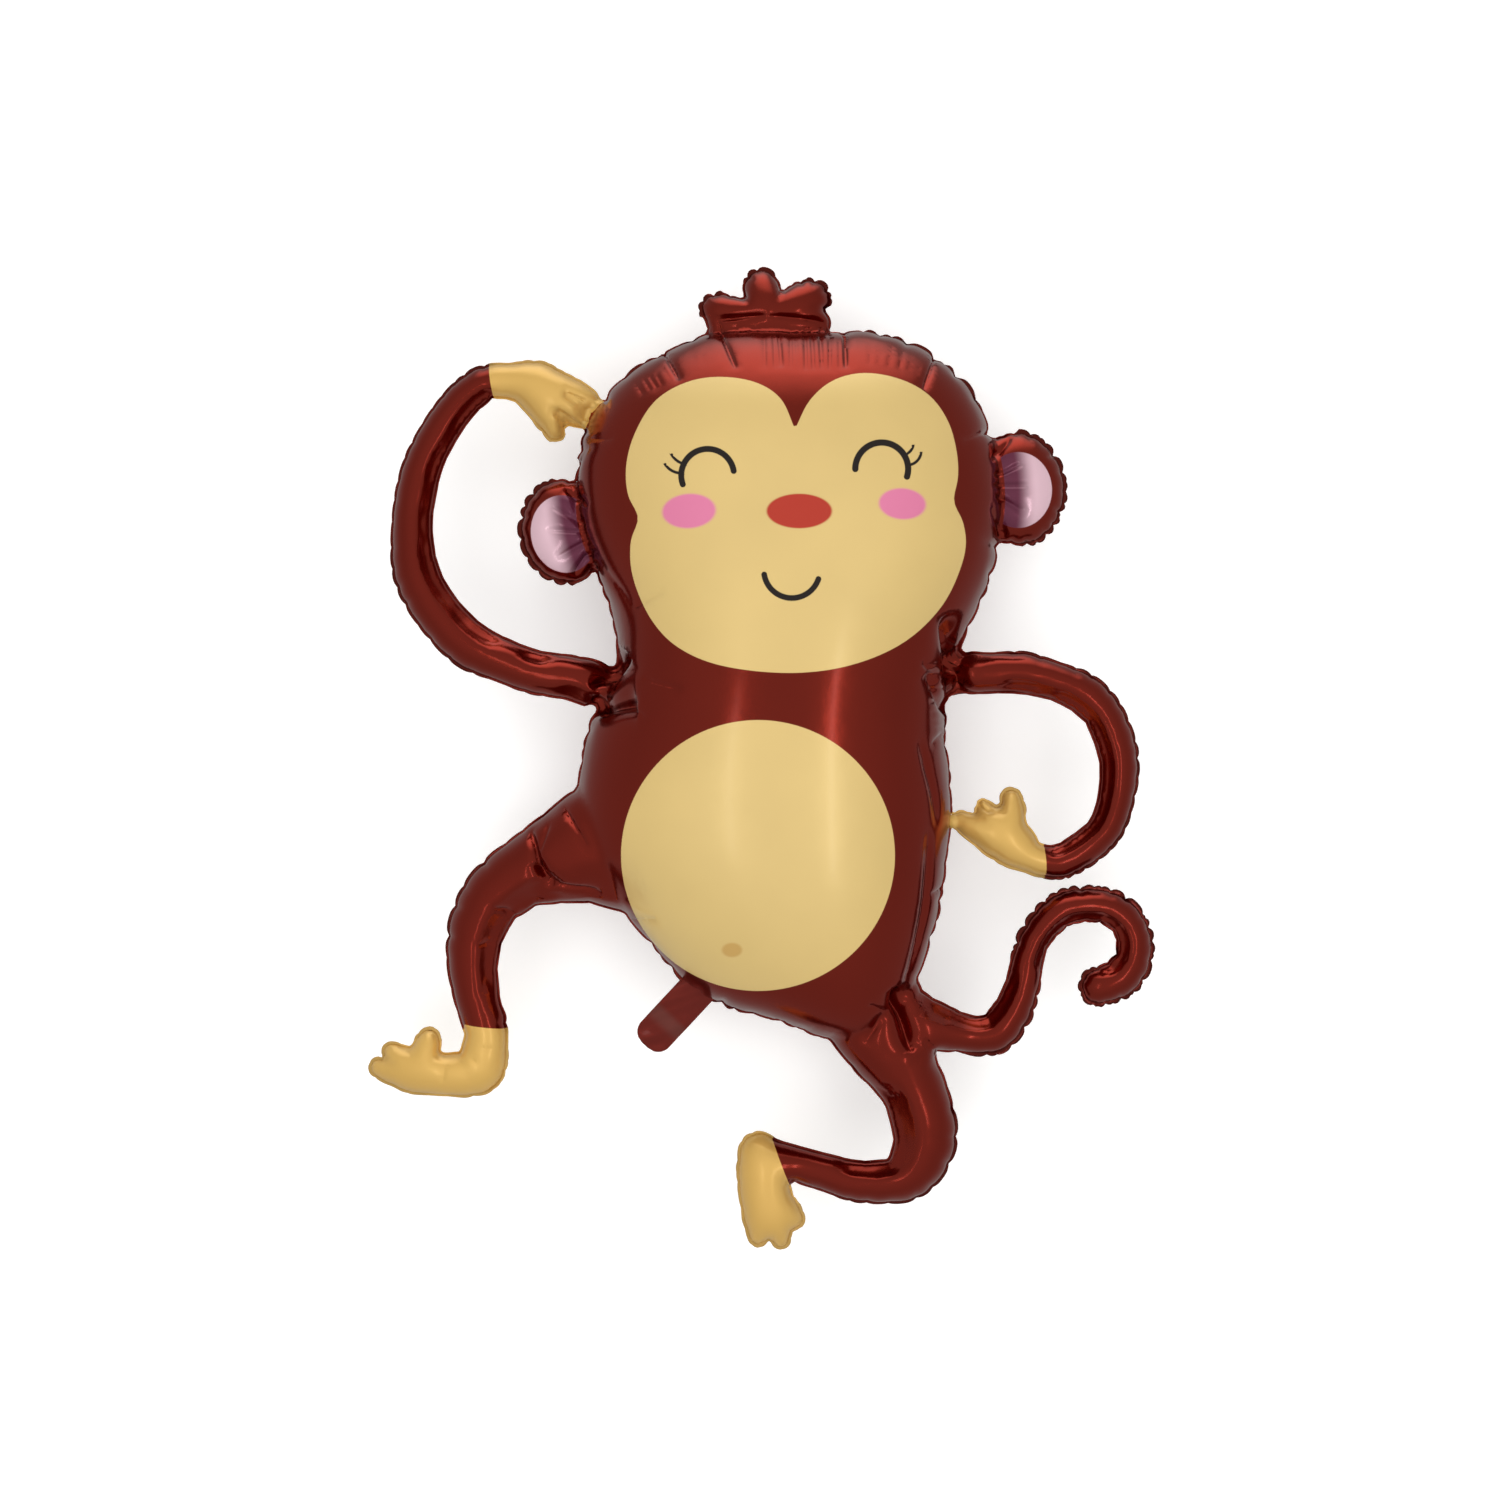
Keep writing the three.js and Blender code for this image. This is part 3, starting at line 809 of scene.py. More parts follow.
# Rows of fine ripples: first start and end, last start and end, how many, and their depth
RIPPLES = [
    ((764, 336, 766, 384), (836, 336, 836, 384), 10, 1.7),
    ((636, 386, 648, 406), (668, 366, 680, 390), 6, 0.9),
    ((858, 342, 856, 376), (924, 352, 914, 388), 7, 0.6),
    ((690, 346, 696, 376), (728, 340, 734, 372), 5, 0.5),
    ((921, 668, 946, 664), (928, 740, 948, 736), 9, 0.9),
    ((764, 1012, 760, 1024), (842, 1026, 838, 1038), 12, 0.7),
]
# Half width of a ripple, how far its ends stray, and its depth as a share of its row's
RIPPLE_HALF = 1.8
RIPPLE_STRAY = 1.2
RIPPLE_DEPTHS = (0.5, 1.3)


def front_valleys(chance):
    """All the single creases and the rows of ripples."""
    valleys = [crease(line, depth, half) for *line, depth, half in FRONT_CREASES]
    for first, last, count, depth in RIPPLES:
        for share in np.linspace(0, 1, count):
            line = np.array(first) * (1 - share) + np.array(last) * share
            line += chance.normal(0, RIPPLE_STRAY, 4)
            valleys.append(crease(line, depth * chance.uniform(*RIPPLE_DEPTHS), RIPPLE_HALF))
    return valleys


# Long folds along the flanks: depth, half width and their line in pixels of the view
FLANK_FOLDS = [
    (1.8, 3.4, [(589, 447), (577, 476), (577, 510), (587, 540), (607, 573), (628, 600), (638, 620)]),
    (3.0, 3.6, [(914, 738), (923, 770), (930, 796), (934, 826)]),
    (4.2, 4.6, [(925, 826), (923, 890), (915, 940), (904, 985), (895, 1012)]),
]
# The inner side of a bent limb flattens into one long facet. It starts and ends this far out and
# this high, as shares of the half width, and is full where the limb bends to this radius.
FACET_START = (0.24, 0.955)
FACET_END = (0.96, 0.28)
FACET_BEND = 170.0
# The lines of folds and limbs have a point about every so far. A limb's bend is evened out over so
# many points each way, and its facet fades in over as many from its ends.
LINE_STEP = 3.0
BEND_SPREAD = 6
# A fold or facet is felt this far round its line, down to this far behind the seam.
FOLD_FELT = 30
FOLD_BACK = -4


def limb_facets(seam):
    """For both sides of a limb: its line, the way to that side, the half width and a strength."""
    made = []
    for path in ARMS + LEGS + [TAIL]:
        line = smooth_line(placed(path), LINE_STEP)
        ahead = np.gradient(line[:, :2], axis=0)
        ahead /= np.linalg.norm(ahead, axis=1)[:, None]
        left = np.stack([-ahead[:, 1], ahead[:, 0]], axis=1)
        turn = (np.gradient(ahead, axis=0) * left).sum(axis=1) / LINE_STEP
        spread = np.ones(2 * BEND_SPREAD + 1) / (2 * BEND_SPREAD + 1)
        turn = np.convolve(np.pad(turn, BEND_SPREAD, mode="edge"), spread, mode="valid")
        number = np.arange(len(line))
        ends = np.clip(np.minimum(number, number[::-1]) / BEND_SPREAD, 0, 1)
        for side in (-1, 1):
            strength = np.clip(side * turn * FACET_BEND, 0, 1) * ends
            made.append((line[:, :2], side * left, line[:, 2] - seam, strength))
    return made


def flank_folds():
    """Lines, with the depth and half width of the fold at each of their points."""
    made = []
    for depth, half, pixels in FLANK_FOLDS:
        line = smooth_line(from_view(pixels), LINE_STEP)
        share = np.linspace(-1, 1, len(line))
        made.append((line, depth * (1 - share ** 4), np.full(len(line), half)))
    return made


def nearest_on(line, points):
    """Which points of the front are near a line, how far off they are, and its nearest point to each."""
    low, high = line.min(axis=0) - FOLD_FELT, line.max(axis=0) + FOLD_FELT
    inside = ((points[:, :2] > low) & (points[:, :2] < high)).all(axis=1)
    near = np.nonzero(inside & (points[:, 2] > FOLD_BACK))[0]
    least, nearest = np.full(len(near), 1e9), np.zeros(len(near), int)
    for number, place in enumerate(line):
        away = np.hypot(*(points[near, :2] - place).T)
        closer = away < least
        least[closer] = away[closer]
        nearest[closer] = number
    return near, least, nearest


def fold_depth(points, folds):
    """How deep each point of the front is pressed in by the long folds."""
    total = np.zeros(len(points))
    for line, depth, half in folds:
        near, least, nearest = nearest_on(line, points)
        valley = np.exp(-(least / half[nearest]) ** 2)
        total[near] += depth[nearest] * valley * front_share(points[near, 2])
    return total


def facet_depth(points, facets):
    """How deep each point of the front lies under the round of its limb, on the flattened side."""
    total = np.zeros(len(points))
    fall = (FACET_END[1] - FACET_START[1]) / (FACET_END[0] - FACET_START[0])
    for line, way, half, strength in facets:
        near, least, nearest = nearest_on(line, points)
        out = ((points[near, :2] - line[nearest]) * way[nearest]).sum(axis=1) / half[nearest]
        round_high = np.sqrt(np.maximum(1 - out ** 2, 0))
        under = round_high - FACET_START[1] - fall * (out - FACET_START[0])
        under = np.where((out > FACET_START[0]) & (out < FACET_END[0]), np.maximum(under, 0), 0)
        total[near] = np.maximum(total[near], under * half[nearest] * strength[nearest])
    return total


def hanging(points):
    """The balloon as it lies: limbs hang a little, and the back is pressed flat on the floor."""
    least = np.full(len(points), 1e9)
    for x, y in smooth_line(placed(TRUNK_SPINE), 6):
        np.minimum(least, np.hypot(points[:, 0] - x, points[:, 1] - y), out=least)
    outside = np.maximum(least - DROOP_REACH, 0) / DROOP_REACH
    lying = points.copy()
    lying[:, 2] += SEAM_HEIGHT - LIMB_DROOP * outside ** 2
    lying[:, 2] = np.maximum(lying[:, 2], 0)
    return lying


# What the film, the seam and the prints are worked out from, made once for each film
SHAPE = {}


def shape(sizes):
    """The figure's inside distances, its filled depth and that depth's slopes."""
    if not SHAPE:
        trunk, tubes, ends, limbs, ears = figure_fields(sizes.seam_width / MM)
        trunk_square, limb_square = filled_square(trunk), filled_square(limbs)
        square = join_squares(trunk_square, limb_square, LIMB_VALLEY)
        square = join_squares(square, EAR_FULLNESS * filled_square(ears), EAR_VALLEY)
        whole = np.maximum(np.maximum(trunk, limbs), ears)
        SHAPE.update(trunk=trunk, tubes=tubes, ends=ends, whole=whole, square=square)
        SHAPE["slopes"] = np.gradient(square, GRID)
    return SHAPE


# Prints

# The face's outline, in pixels of the view
FACE_OUTLINE = [
    (795, 429), (781, 399), (760, 384), (726, 377), (690, 381), (656, 400), (634, 435), (626, 467),
    (628, 495), (638, 518), (631, 540), (631, 568), (640, 598), (655, 625), (676, 646), (715, 664),
    (793, 673), (855, 664), (906, 641), (942, 606), (960, 570), (966, 544), (963, 522), (954, 501),
    (958, 478), (957, 453), (948, 421), (929, 395), (900, 379), (862, 373), (832, 381), (810, 400),
]
# The prints of hands and feet go on this far over the film's edge, take in what is this much wider
# than the limb, and end this far inside the trunk's outline. All distances end at the last one.
EDGE_PRINT = 3
HAND_SPREAD = 14
TRUNK_PRINT = 1
PRINT_REACH = 40.0


def wrist_side(line, points):
    """Signed distance past a line across a limb, on the side of the third point."""
    (ax, ay), (bx, by), (cx, cy) = from_view(line)
    normal = np.array([by - ay, ax - bx]) / math.hypot(bx - ax, by - ay)
    side = np.sign((cx - ax) * normal[0] + (cy - ay) * normal[1])
    return side * ((points[:, 0] - ax) * normal[0] + (points[:, 1] - ay) * normal[1])


# Two points on each wrist or ankle and one on its hand or foot
WRISTS = [
    [(488, 362), (493, 397), (560, 400)],
    [(1044, 846), (1046, 878), (1000, 830)],
    [(463, 1024), (503, 1028), (460, 1070)],
    [(772, 1137), (787, 1177), (750, 1190)],
]


def skin_inside(plain, made):
    """How far each point lies on a hand or foot, past the wrist, in millimetres."""
    skin = np.full(len(plain), -PRINT_REACH)
    for line, end, tube in zip(WRISTS, made["ends"], made["tubes"]):
        inside = sample(end, *plain[:, :2].T)
        wider = inside - sample(tube, *plain[:, :2].T) - HAND_SPREAD
        past = np.maximum(wrist_side(line, plain), wider)
        skin = np.maximum(skin, np.minimum(past, inside + EDGE_PRINT))
    return np.minimum(skin, TRUNK_PRINT - sample(made["trunk"], *plain[:, :2].T))


def add_prints(thing, plain, lying, made):
    """Keeps the prints' distances on the vertices, and the printed sheet as a UV map.

    The face is printed as the view shows it, and hands and feet by their place on the film.
    """
    above = VIEW_DISTANCE / MM + SEAM_HEIGHT - lying[:, 2:3]
    seen = FRAME_MIDDLE + (lying[:, :2] - FRAME_MIDDLE) * (VIEW_DISTANCE / MM) / above
    outline = smooth_line(FACE_OUTLINE + FACE_OUTLINE[:1], 6)[:-1]
    face = sample(outline_field(from_view(outline)), *seen.T)
    front = np.clip(plain[:, 2] * 4, -PRINT_REACH, PRINT_REACH)
    off_trunk = -sample(made["trunk"], *plain[:, :2].T)
    layers = {"face_inside": np.minimum(face, front), "skin_inside": skin_inside(plain, made),
              "front": front, "off_trunk": off_trunk}
    for name, values in layers.items():
        layer = thing.data.attributes.new(name, "FLOAT", "POINT")
        layer.data.foreach_set("value", values.astype(np.float32))
    corners = read(thing.data.loops, "vertex_index")
    sheet = thing.data.uv_layers.new(name="printed_sheet")
    sheet.uv.foreach_set("vector", (seen[corners] * MM).astype(np.float32).ravel())


# Starts of the random draws, one for the film and one for its seam
FILM_SEED, SEAM_SEED = 7, 11


class OBJECT_OT_balloon_film(bpy.types.Operator):
    """Makes the filled front and back film with its gathers and creases"""

    bl_idname = "object.balloon_film"
    bl_label = "Balloon film"

    def execute(self, context):
        sizes = context.scene.balloon_sizes
        SHAPE.clear()
        made = shape(sizes)
        film = film_mesh(made["whole"], made["square"], made["slopes"], sizes.mesh_size)
        made["seams"] = [SeamLine(loop, made["square"], made["slopes"]) for loop in seam_loops(film)]
        chance = np.random.default_rng(FILM_SEED)
        made["gathers"] = gathers(made, chance, sizes.gather)
        made["front"] = front_valleys(chance)
        made["folds"] = flank_folds()
        made["facets"] = limb_facets(sizes.seam_width / MM)
        crease_mesh(film, made)
        plain = coordinates(film)
        slope = film_slope(plain, made["slopes"])
        out = slope / np.linalg.norm(slope, axis=1)[:, None]
        depth = press(plain, made["gathers"] + made["front"])
        depth += fold_depth(plain, made["folds"]) + facet_depth(plain, made["facets"])
        lying = hanging(plain - out * depth[:, None])
        set_coordinates(film, lying)
        add_prints(film, plain, lying, made)
        finish_piece(film, printed_film("metallised_nylon_film", context.scene.balloon_colours))
        return {"FINISHED"}


def close_up(thing, gap=None):
    """Turns all faces outwards, after points closer than the gap are merged."""
    only(thing)
    bpy.ops.object.mode_set(mode="EDIT")
    bpy.ops.mesh.select_all(action="SELECT")
    if gap:
        bpy.ops.mesh.remove_doubles(threshold=gap)
    bpy.ops.mesh.normals_make_consistent(inside=False)
    bpy.ops.object.mode_set(mode="OBJECT")


def finish_piece(thing, material):
    """Smooth shading, a finish, and its place on the body of the frame."""
    only(thing)
    bpy.ops.object.shade_smooth()
    thing.data.materials.clear()
    thing.data.materials.append(material)
    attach(thing, "root")
    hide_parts("monkey_balloon")


# The strip's share of its width where it runs straight, how much of it is added between gathers
# on an outer bend, and how dark it is in both places: weld brown where it runs straight, and darker on an
# outer bend, where the extra is painted shade in the gathers
SEAM_STRAIGHT = 0.6
SEAM_BULGE = 0.7
SEAM_BROWN_AND_SHADE = (0.1, 0.55)
# An outer bend bulges fully at this radius. On hands and feet, and on limbs, this share is left out.
FULL_BULGE = 110
BARE_PLAIN, LIMB_PLAIN = 0.75, 0.6
# In an inner bend the strip is no wider than this share of the bend's radius.
ROOM_SHARE = 0.55
# The strip counts as gathered where the film is pressed in by this much.
GATHERED_DEPTH = 2.5
# It lies in waves: their height, the share of them where it isn't gathered, and a lift where it is.
WAVE_HEIGHT = 3.2
WAVE_PLAIN, WAVE_LIFT = 0.35, 0.5
# Its section: share of the width, and share of the half thickness
STRIP_SECTION = [(-0.5, 0), (-0.3, 1), (0.35, 1), (0.92, 0.8), (1, 0), (0.92, -0.8), (0.35, -1), (-0.3, -1)]


def seam_strip(seam, made, sizes, chance):
    """Vertices of one seam's flat strip, before the limbs hang, and its faces."""
    width, half = sizes.seam_width / MM, sizes.seam_thickness / MM / 2
    count = len(seam.points)
    room = np.minimum(width, ROOM_SHARE / np.maximum(-seam.bend, 1e-3))
    room = np.minimum.reduce([np.roll(room, k) for k in range(-3, 4)])
    room = blurred(room, 3)
    flat = np.column_stack([seam.points, np.zeros(count)])
    pressed = press(flat, made["gathers"] + made["front"])
    gathered = np.clip(pressed / GATHERED_DEPTH, 0, 1)
    bare = np.clip(blurred(skin_inside(flat, made), 3) / 4, 0, 1)
    convex = np.clip(blurred(seam.bend, 8) * FULL_BULGE, 0, 1) * (1 - BARE_PLAIN * bare)
    on_limbs = 1 - LIMB_PLAIN * on_limb(flat, made)
    bulge = SEAM_STRAIGHT + SEAM_BULGE * convex * (1 - gathered) * on_limbs
    wave = blurred(blurred(chance.normal(0, 1, count), 3), 2) * WAVE_HEIGHT
    lift = wave * (WAVE_PLAIN + gathered) + WAVE_LIFT * gathered
    rows = []
    for share, thick in STRIP_SECTION:
        out = share * room * bulge - pressed
        place = seam.points + seam.outward * out[:, None]
        rows.append(np.column_stack([place, thick * half + lift * max(share, 0) ** 1.5]))
    vertices = np.stack(rows, axis=1).reshape(-1, 3)
    sides = len(STRIP_SECTION)
    ring = np.arange(count)[:, None] * sides
    onward = np.roll(np.arange(count), -1)[:, None] * sides
    k = np.arange(sides)[None, :]
    following = (k + 1) % sides
    faces = np.stack([ring + k, ring + following, onward + following, onward + k], axis=-1).reshape(-1, 4)
    # Browned a little all round by the weld, and darker on outer bends: painted shade in the gathers there.
    browned_and_shaded = np.repeat(SEAM_BROWN_AND_SHADE[0] + (SEAM_BROWN_AND_SHADE[1] - SEAM_BROWN_AND_SHADE[0]) * convex, sides)
    return vertices, faces, browned_and_shaded, np.repeat(flat, sides, axis=0)


class OBJECT_OT_welded_seam(bpy.types.Operator):
    """Makes the flat welded edge outside the filled film, all round the figure"""

    bl_idname = "object.welded_seam"
    bl_label = "Welded seam"

    def execute(self, context):
        sizes = context.scene.balloon_sizes
        made = shape(sizes)
        chance = np.random.default_rng(SEAM_SEED)
        vertices, faces, browned_and_shaded, edges, count = [], [], [], [], 0
        for seam in made["seams"]:
            points, quads, brown, edge = seam_strip(seam, made, sizes, chance)
            vertices.append(points)
            faces.append(quads + count)
            browned_and_shaded.append(brown)
            edges.append(edge)
            count += len(points)
        plain = np.vstack(vertices)
        lying = hanging(plain)
        strip = link_mesh("welded_seam", lying, np.vstack(faces))
        close_up(strip)
        # The strip is printed as the film beside it is.
        add_prints(strip, np.vstack(edges), lying, made)
        # Its darkening, weld brown plus painted shade on the outer bends, is kept on the vertices.
        layer = strip.data.attributes.new("browned_and_shaded", "FLOAT", "POINT")
        layer.data.foreach_set("value", np.concatenate(browned_and_shaded).astype(np.float32))
        finish_piece(strip, printed_film("heat_sealed_film_edge", context.scene.balloon_colours))
        return {"FINISHED"}


# Materials

def add(tree, kind, settings=None, inputs=None):
    """A new node with its settings, and its inputs set to values or linked to other sockets."""
    node = tree.nodes.new("ShaderNode" + kind)
    for name, value in (settings or {}).items():
        setattr(node, name, value)
    for name, value in (inputs or {}).items():
        if isinstance(value, bpy.types.NodeSocket):
            tree.links.new(value, node.inputs[name])
        else:
            node.inputs[name].default_value = value
    return node


def blank_material(name):
    """A material with an empty node tree, and the tree."""
    material = bpy.data.materials.new(name)
    material.use_nodes = True
    material.node_tree.nodes.clear()
    return material, material.node_tree


def print_mask(tree, distances, soft):
    """White where all the distances, in millimetres, are above zero, with a soft edge."""
    least = distances[0]
    for distance in distances[1:]:
        least = add(tree, "Math", {"operation": "MINIMUM"}, {0: least, 1: distance}).outputs[0]
    return add(tree, "MapRange", {"interpolation_type": "SMOOTHSTEP"}, {
        "Value": least, "From Min": -soft, "From Max": soft}).outputs[0]


def ellipse_inside(tree, sheet, centre, half_wide, half_high, tilt=0.0):
    """How far inside an ellipse on the sheet, in millimetres, roughly."""
    x, y = from_view([centre])[0] * MM
    mapping = add(tree, "Mapping", {"vector_type": "TEXTURE"}, {
        "Vector": sheet, "Location": (x, y, 0.0), "Rotation": (0, 0, math.radians(tilt)),
        "Scale": (half_wide * MM, half_high * MM, 1)})
    length = add(tree, "VectorMath", {"operation": "LENGTH"}, {0: mapping.outputs[0]})
    inside = add(tree, "Math", {"operation": "SUBTRACT"}, {0: 1.0, 1: length.outputs["Value"]})
    least = min(half_wide, half_high)
    return add(tree, "Math", {"operation": "MULTIPLY"}, {0: inside.outputs[0], 1: least}).outputs[0]


def circle_through(a, b, c):
    """Middle and radius of the circle through three points."""
    (ax, ay), (bx, by), (cx, cy) = a, b, c
    d = 2 * (ax * (by - cy) + bx * (cy - ay) + cx * (ay - by))
    sa, sb, sc = ax * ax + ay * ay, bx * bx + by * by, cx * cx + cy * cy
    x = (sa * (by - cy) + sb * (cy - ay) + sc * (ay - by)) / d
    y = (sa * (cx - bx) + sb * (ax - cx) + sc * (bx - ax)) / d
    return np.array([x, y]), math.hypot(ax - x, ay - y)


def stroke_inside(tree, sheet, points, width):
    """How far inside a round-ended stroke along the arc through three points, in millimetres."""
    a, b, c = from_view(points)
    centre, radius = circle_through(a, b, c)
    away, to_start, to_end = [
        add(tree, "VectorMath", {"operation": "DISTANCE"}, {
            0: sheet, 1: (x * MM, y * MM, 0.0)}).outputs["Value"]
        for x, y in (centre, a, c)]
    off_line = add(tree, "Math", {"operation": "SUBTRACT"}, {0: away, 1: radius * MM})
    off_line = add(tree, "Math", {"operation": "ABSOLUTE"}, {0: off_line.outputs[0]})
    # Only the side of the chord where the middle point lies belongs to the stroke.
    chord = (c - a) / np.linalg.norm(c - a)
    normal = np.array([-chord[1], chord[0]])
    normal *= np.sign((b - a) @ normal)
    facing = add(tree, "VectorMath", {"operation": "DOT_PRODUCT"}, {
        0: sheet, 1: (normal[0], normal[1], 0.0)})
    past = add(tree, "Math", {"operation": "LESS_THAN"}, {
        0: facing.outputs["Value"], 1: float(a @ normal) * MM})
    least = add(tree, "Math", {"operation": "ADD"}, {0: off_line.outputs[0], 1: past.outputs[0]})
    for end in (to_start, to_end):
        least = add(tree, "Math", {"operation": "MINIMUM"}, {0: least.outputs[0], 1: end})
    return add(tree, "Math", {"operation": "MULTIPLY_ADD"}, {
        0: least.outputs[0], 1: -1 / MM, 2: width / 2}).outputs[0]


# Strokes of the eyes and mouth: start, middle and end in pixels of the view, and the width
LINES = [
    ([(682.8, 484.3), (710.8, 449.1), (733.7, 470.9)], 6.1),
    ([(855.3, 469), (876.7, 443), (907, 476.6)], 6.4),
    ([(764.2, 574.5), (790.9, 598), (818.4, 579)], 5.8),
    ([(671.8, 454.8), (677.5, 461), (685, 464)], 2.9),
    ([(665.2, 464.4), (672.5, 471), (682.8, 473)], 2.9),
    ([(905, 454.4), (910, 451.5), (913, 446)], 2.9),
    ([(908.9, 465), (916.5, 461.5), (921, 453)], 2.9),
]
# Round prints: ink, middle in pixels of the view, half width, half height, tilt and softness of edge
SPOTS = [
    ("beige", (758, 855.5), 137, 135.5, 0, 0.5),
    ("navel", (732, 950), 10, 7, 0, 1.5),
    ("cheek", (689, 511), 26.8, 17.2, 4, 1.6),
    ("cheek", (902.4, 503.8), 23.5, 15.5, -4, 1.6),
    ("nose", (799.3, 511), 32.7, 17.3, 0, 0.9),
]
EAR_SPOTS = [((1018, 490), 34, 38, 0), ((564, 534), 33, 39, 12)]
# Beside the head the inside of an ear is painted plum, a painted shade for the dark head it mirrors. The
# pink starts this far from the head and is full this far, in millimetres.
EAR_SHADE_FADE = (12.0, 33.0)
# The ink lies a little unevenly, in clouds of about this size, and so much lighter where it is thin.
INK_CLOUD = 90.9
INK_SPREAD = 1.14
# The thin film has wide and fine dents about this far apart. The fine ones count by a share.
WIDE_DENTS, FINE_DENTS = 25.0, 7.143
FINE_SHARE = 0.2
# Softness of the edges of the prints and of the strokes, in millimetres
PRINT_EDGE, STROKE_EDGE = 0.5, 0.45
# How much metal shows through each ink, and how rough it is
BROWN_SURFACE = (1.0, 0.2)
BEIGE_SURFACE = (0.22, 0.26)
SKIN_SURFACE = (0.34, 0.28)
EAR_SURFACE = (0.5, 0.2)


def printed_film(name, colours):
    """Metallised nylon film, extruded and vapour coated, with gravure-printed inks.

    The lacquered brown stays a tinted mirror, while the opaque beige and pink inks hide the metal.
    Heat sealing browns the seam a little, and on outer bends it is darkened more with painted shade.
    """
    material, tree = blank_material(name)
    sheet = add(tree, "UVMap", {"uv_map": "printed_sheet"}).outputs[0]
    place = add(tree, "TexCoord").outputs["Object"]
    face, skin, front, off_trunk, browned_and_shaded = [
        add(tree, "Attribute", {"attribute_name": layer}).outputs["Fac"]
        for layer in ("face_inside", "skin_inside", "front", "off_trunk", "browned_and_shaded")]

    cloud = add(tree, "TexNoise", None, {
        "Vector": place, "Scale": 1 / (INK_CLOUD * MM), "Detail": 2.0}).outputs[0]
    brown, beige, hands = [
        add(tree, "Mix", {"data_type": "RGBA"}, {
            0: cloud, 6: (*base, 1.0), 7: (*[min(1, c * INK_SPREAD) for c in base], 1.0)}).outputs[2]
        for base in (colours.brown, colours.beige, colours.skin)]
    # Towards the head the ear's pink turns to plum, a painted shade for the reflection of the dark head.
    fade = add(tree, "MapRange", {"interpolation_type": "SMOOTHSTEP"}, {
        "Value": off_trunk, "From Min": EAR_SHADE_FADE[0], "From Max": EAR_SHADE_FADE[1]})
    pink = add(tree, "Mix", {"data_type": "RGBA"}, {
        0: fade.outputs[0], 6: (*colours.ear_root_painted_shade, 1.0), 7: (*colours.ear, 1.0)}).outputs[2]

    # Each print in the order of printing: its mask, its ink and its surface
    prints = []
    for spot in EAR_SPOTS:
        inside = ellipse_inside(tree, sheet, *spot)
        prints.append((print_mask(tree, [inside, front, off_trunk], PRINT_EDGE), pink, EAR_SURFACE))
    prints.append((print_mask(tree, [face], PRINT_EDGE), beige, BEIGE_SURFACE))
    prints.append((print_mask(tree, [skin], PRINT_EDGE), hands, SKIN_SURFACE))
    for tint, centre, wide, high, tilt, soft in SPOTS:
        inside = ellipse_inside(tree, sheet, centre, wide, high, tilt)
        shown = beige if tint == "beige" else (*getattr(colours, tint), 1.0)
        prints.append((print_mask(tree, [inside, front], soft), shown, BEIGE_SURFACE))
    for points, width in LINES:
        inside = stroke_inside(tree, sheet, points, width)
        mask = print_mask(tree, [inside, front], STROKE_EDGE)
        prints.append((mask, (*colours.line, 1.0), BEIGE_SURFACE))
    shade, (metallic, gloss) = brown, BROWN_SURFACE
    for mask, tint, (metal, rough) in prints:
        shade = add(tree, "Mix", {"data_type": "RGBA"}, {0: mask, 6: shade, 7: tint}).outputs[2]
        metallic = add(tree, "Mix", None, {0: mask, 2: metallic, 3: metal}).outputs[0]
        gloss = add(tree, "Mix", None, {0: mask, 2: gloss, 3: rough}).outputs[0]
    # The seam's weld brown, with painted shade on its outer bends.
    shade = add(tree, "Mix", {"data_type": "RGBA"}, {
        0: browned_and_shaded, 6: shade, 7: (*colours.scorch_and_painted_shade, 1.0)}).outputs[2]

    wide = add(tree, "TexNoise", None, {
        "Vector": place, "Scale": 1 / (WIDE_DENTS * MM), "Detail": 1.0}).outputs[0]
    fine = add(tree, "TexNoise", None, {
        "Vector": place, "Scale": 1 / (FINE_DENTS * MM), "Detail": 2.0}).outputs[0]
    dents = add(tree, "Math", {"operation": "MULTIPLY_ADD"}, {0: fine, 1: FINE_SHARE, 2: wide}).outputs[0]
    bump = add(tree, "Bump", None, {"Height": dents, "Strength": 0.25, "Distance": 1.0 * MM})
    shader = add(tree, "BsdfPrincipled", None, {
        "Base Color": shade, "Metallic": metallic, "Roughness": gloss,
        "Coat Weight": 0.25, "Coat Roughness": 0.12, "Normal": bump.outputs[0]})
    add(tree, "OutputMaterial", None, {"Surface": shader.outputs[0]})
    return material


# The neck

# Where the neck leaves the trunk, in drawn units, which way it points, and the round of its corners
NECK_ROOT = (-69, -237)
NECK_ANGLE = math.radians(-133)
NECK_CORNER = 15.0
# It starts this far under the trunk's edge, and is sealed over this much of its end.
NECK_TUCK = 24
NECK_SEAL = 4
NECK_COLUMNS, NECK_ROWS = 60, 24
# Half the gap between its films at the edge, and how much more in the middle
NECK_THIN, NECK_PART = 0.5, 1.1
# Heights and lengths of its two sets of folds. The second kind tips from side to side.
FOLD_ACROSS = (0.5, 6.5)
FOLD_TIPPING = (0.8, 17)
# A painted grey reflection lies across the neck between these shares of its length, each with a soft edge
# in millimetres.
NECK_REFLECTION_START, NECK_REFLECTION_END = (0.4, 4.0), (0.62, 5.0)
# How far apart the small dents of the neck are
NECK_DENTS = 11.1


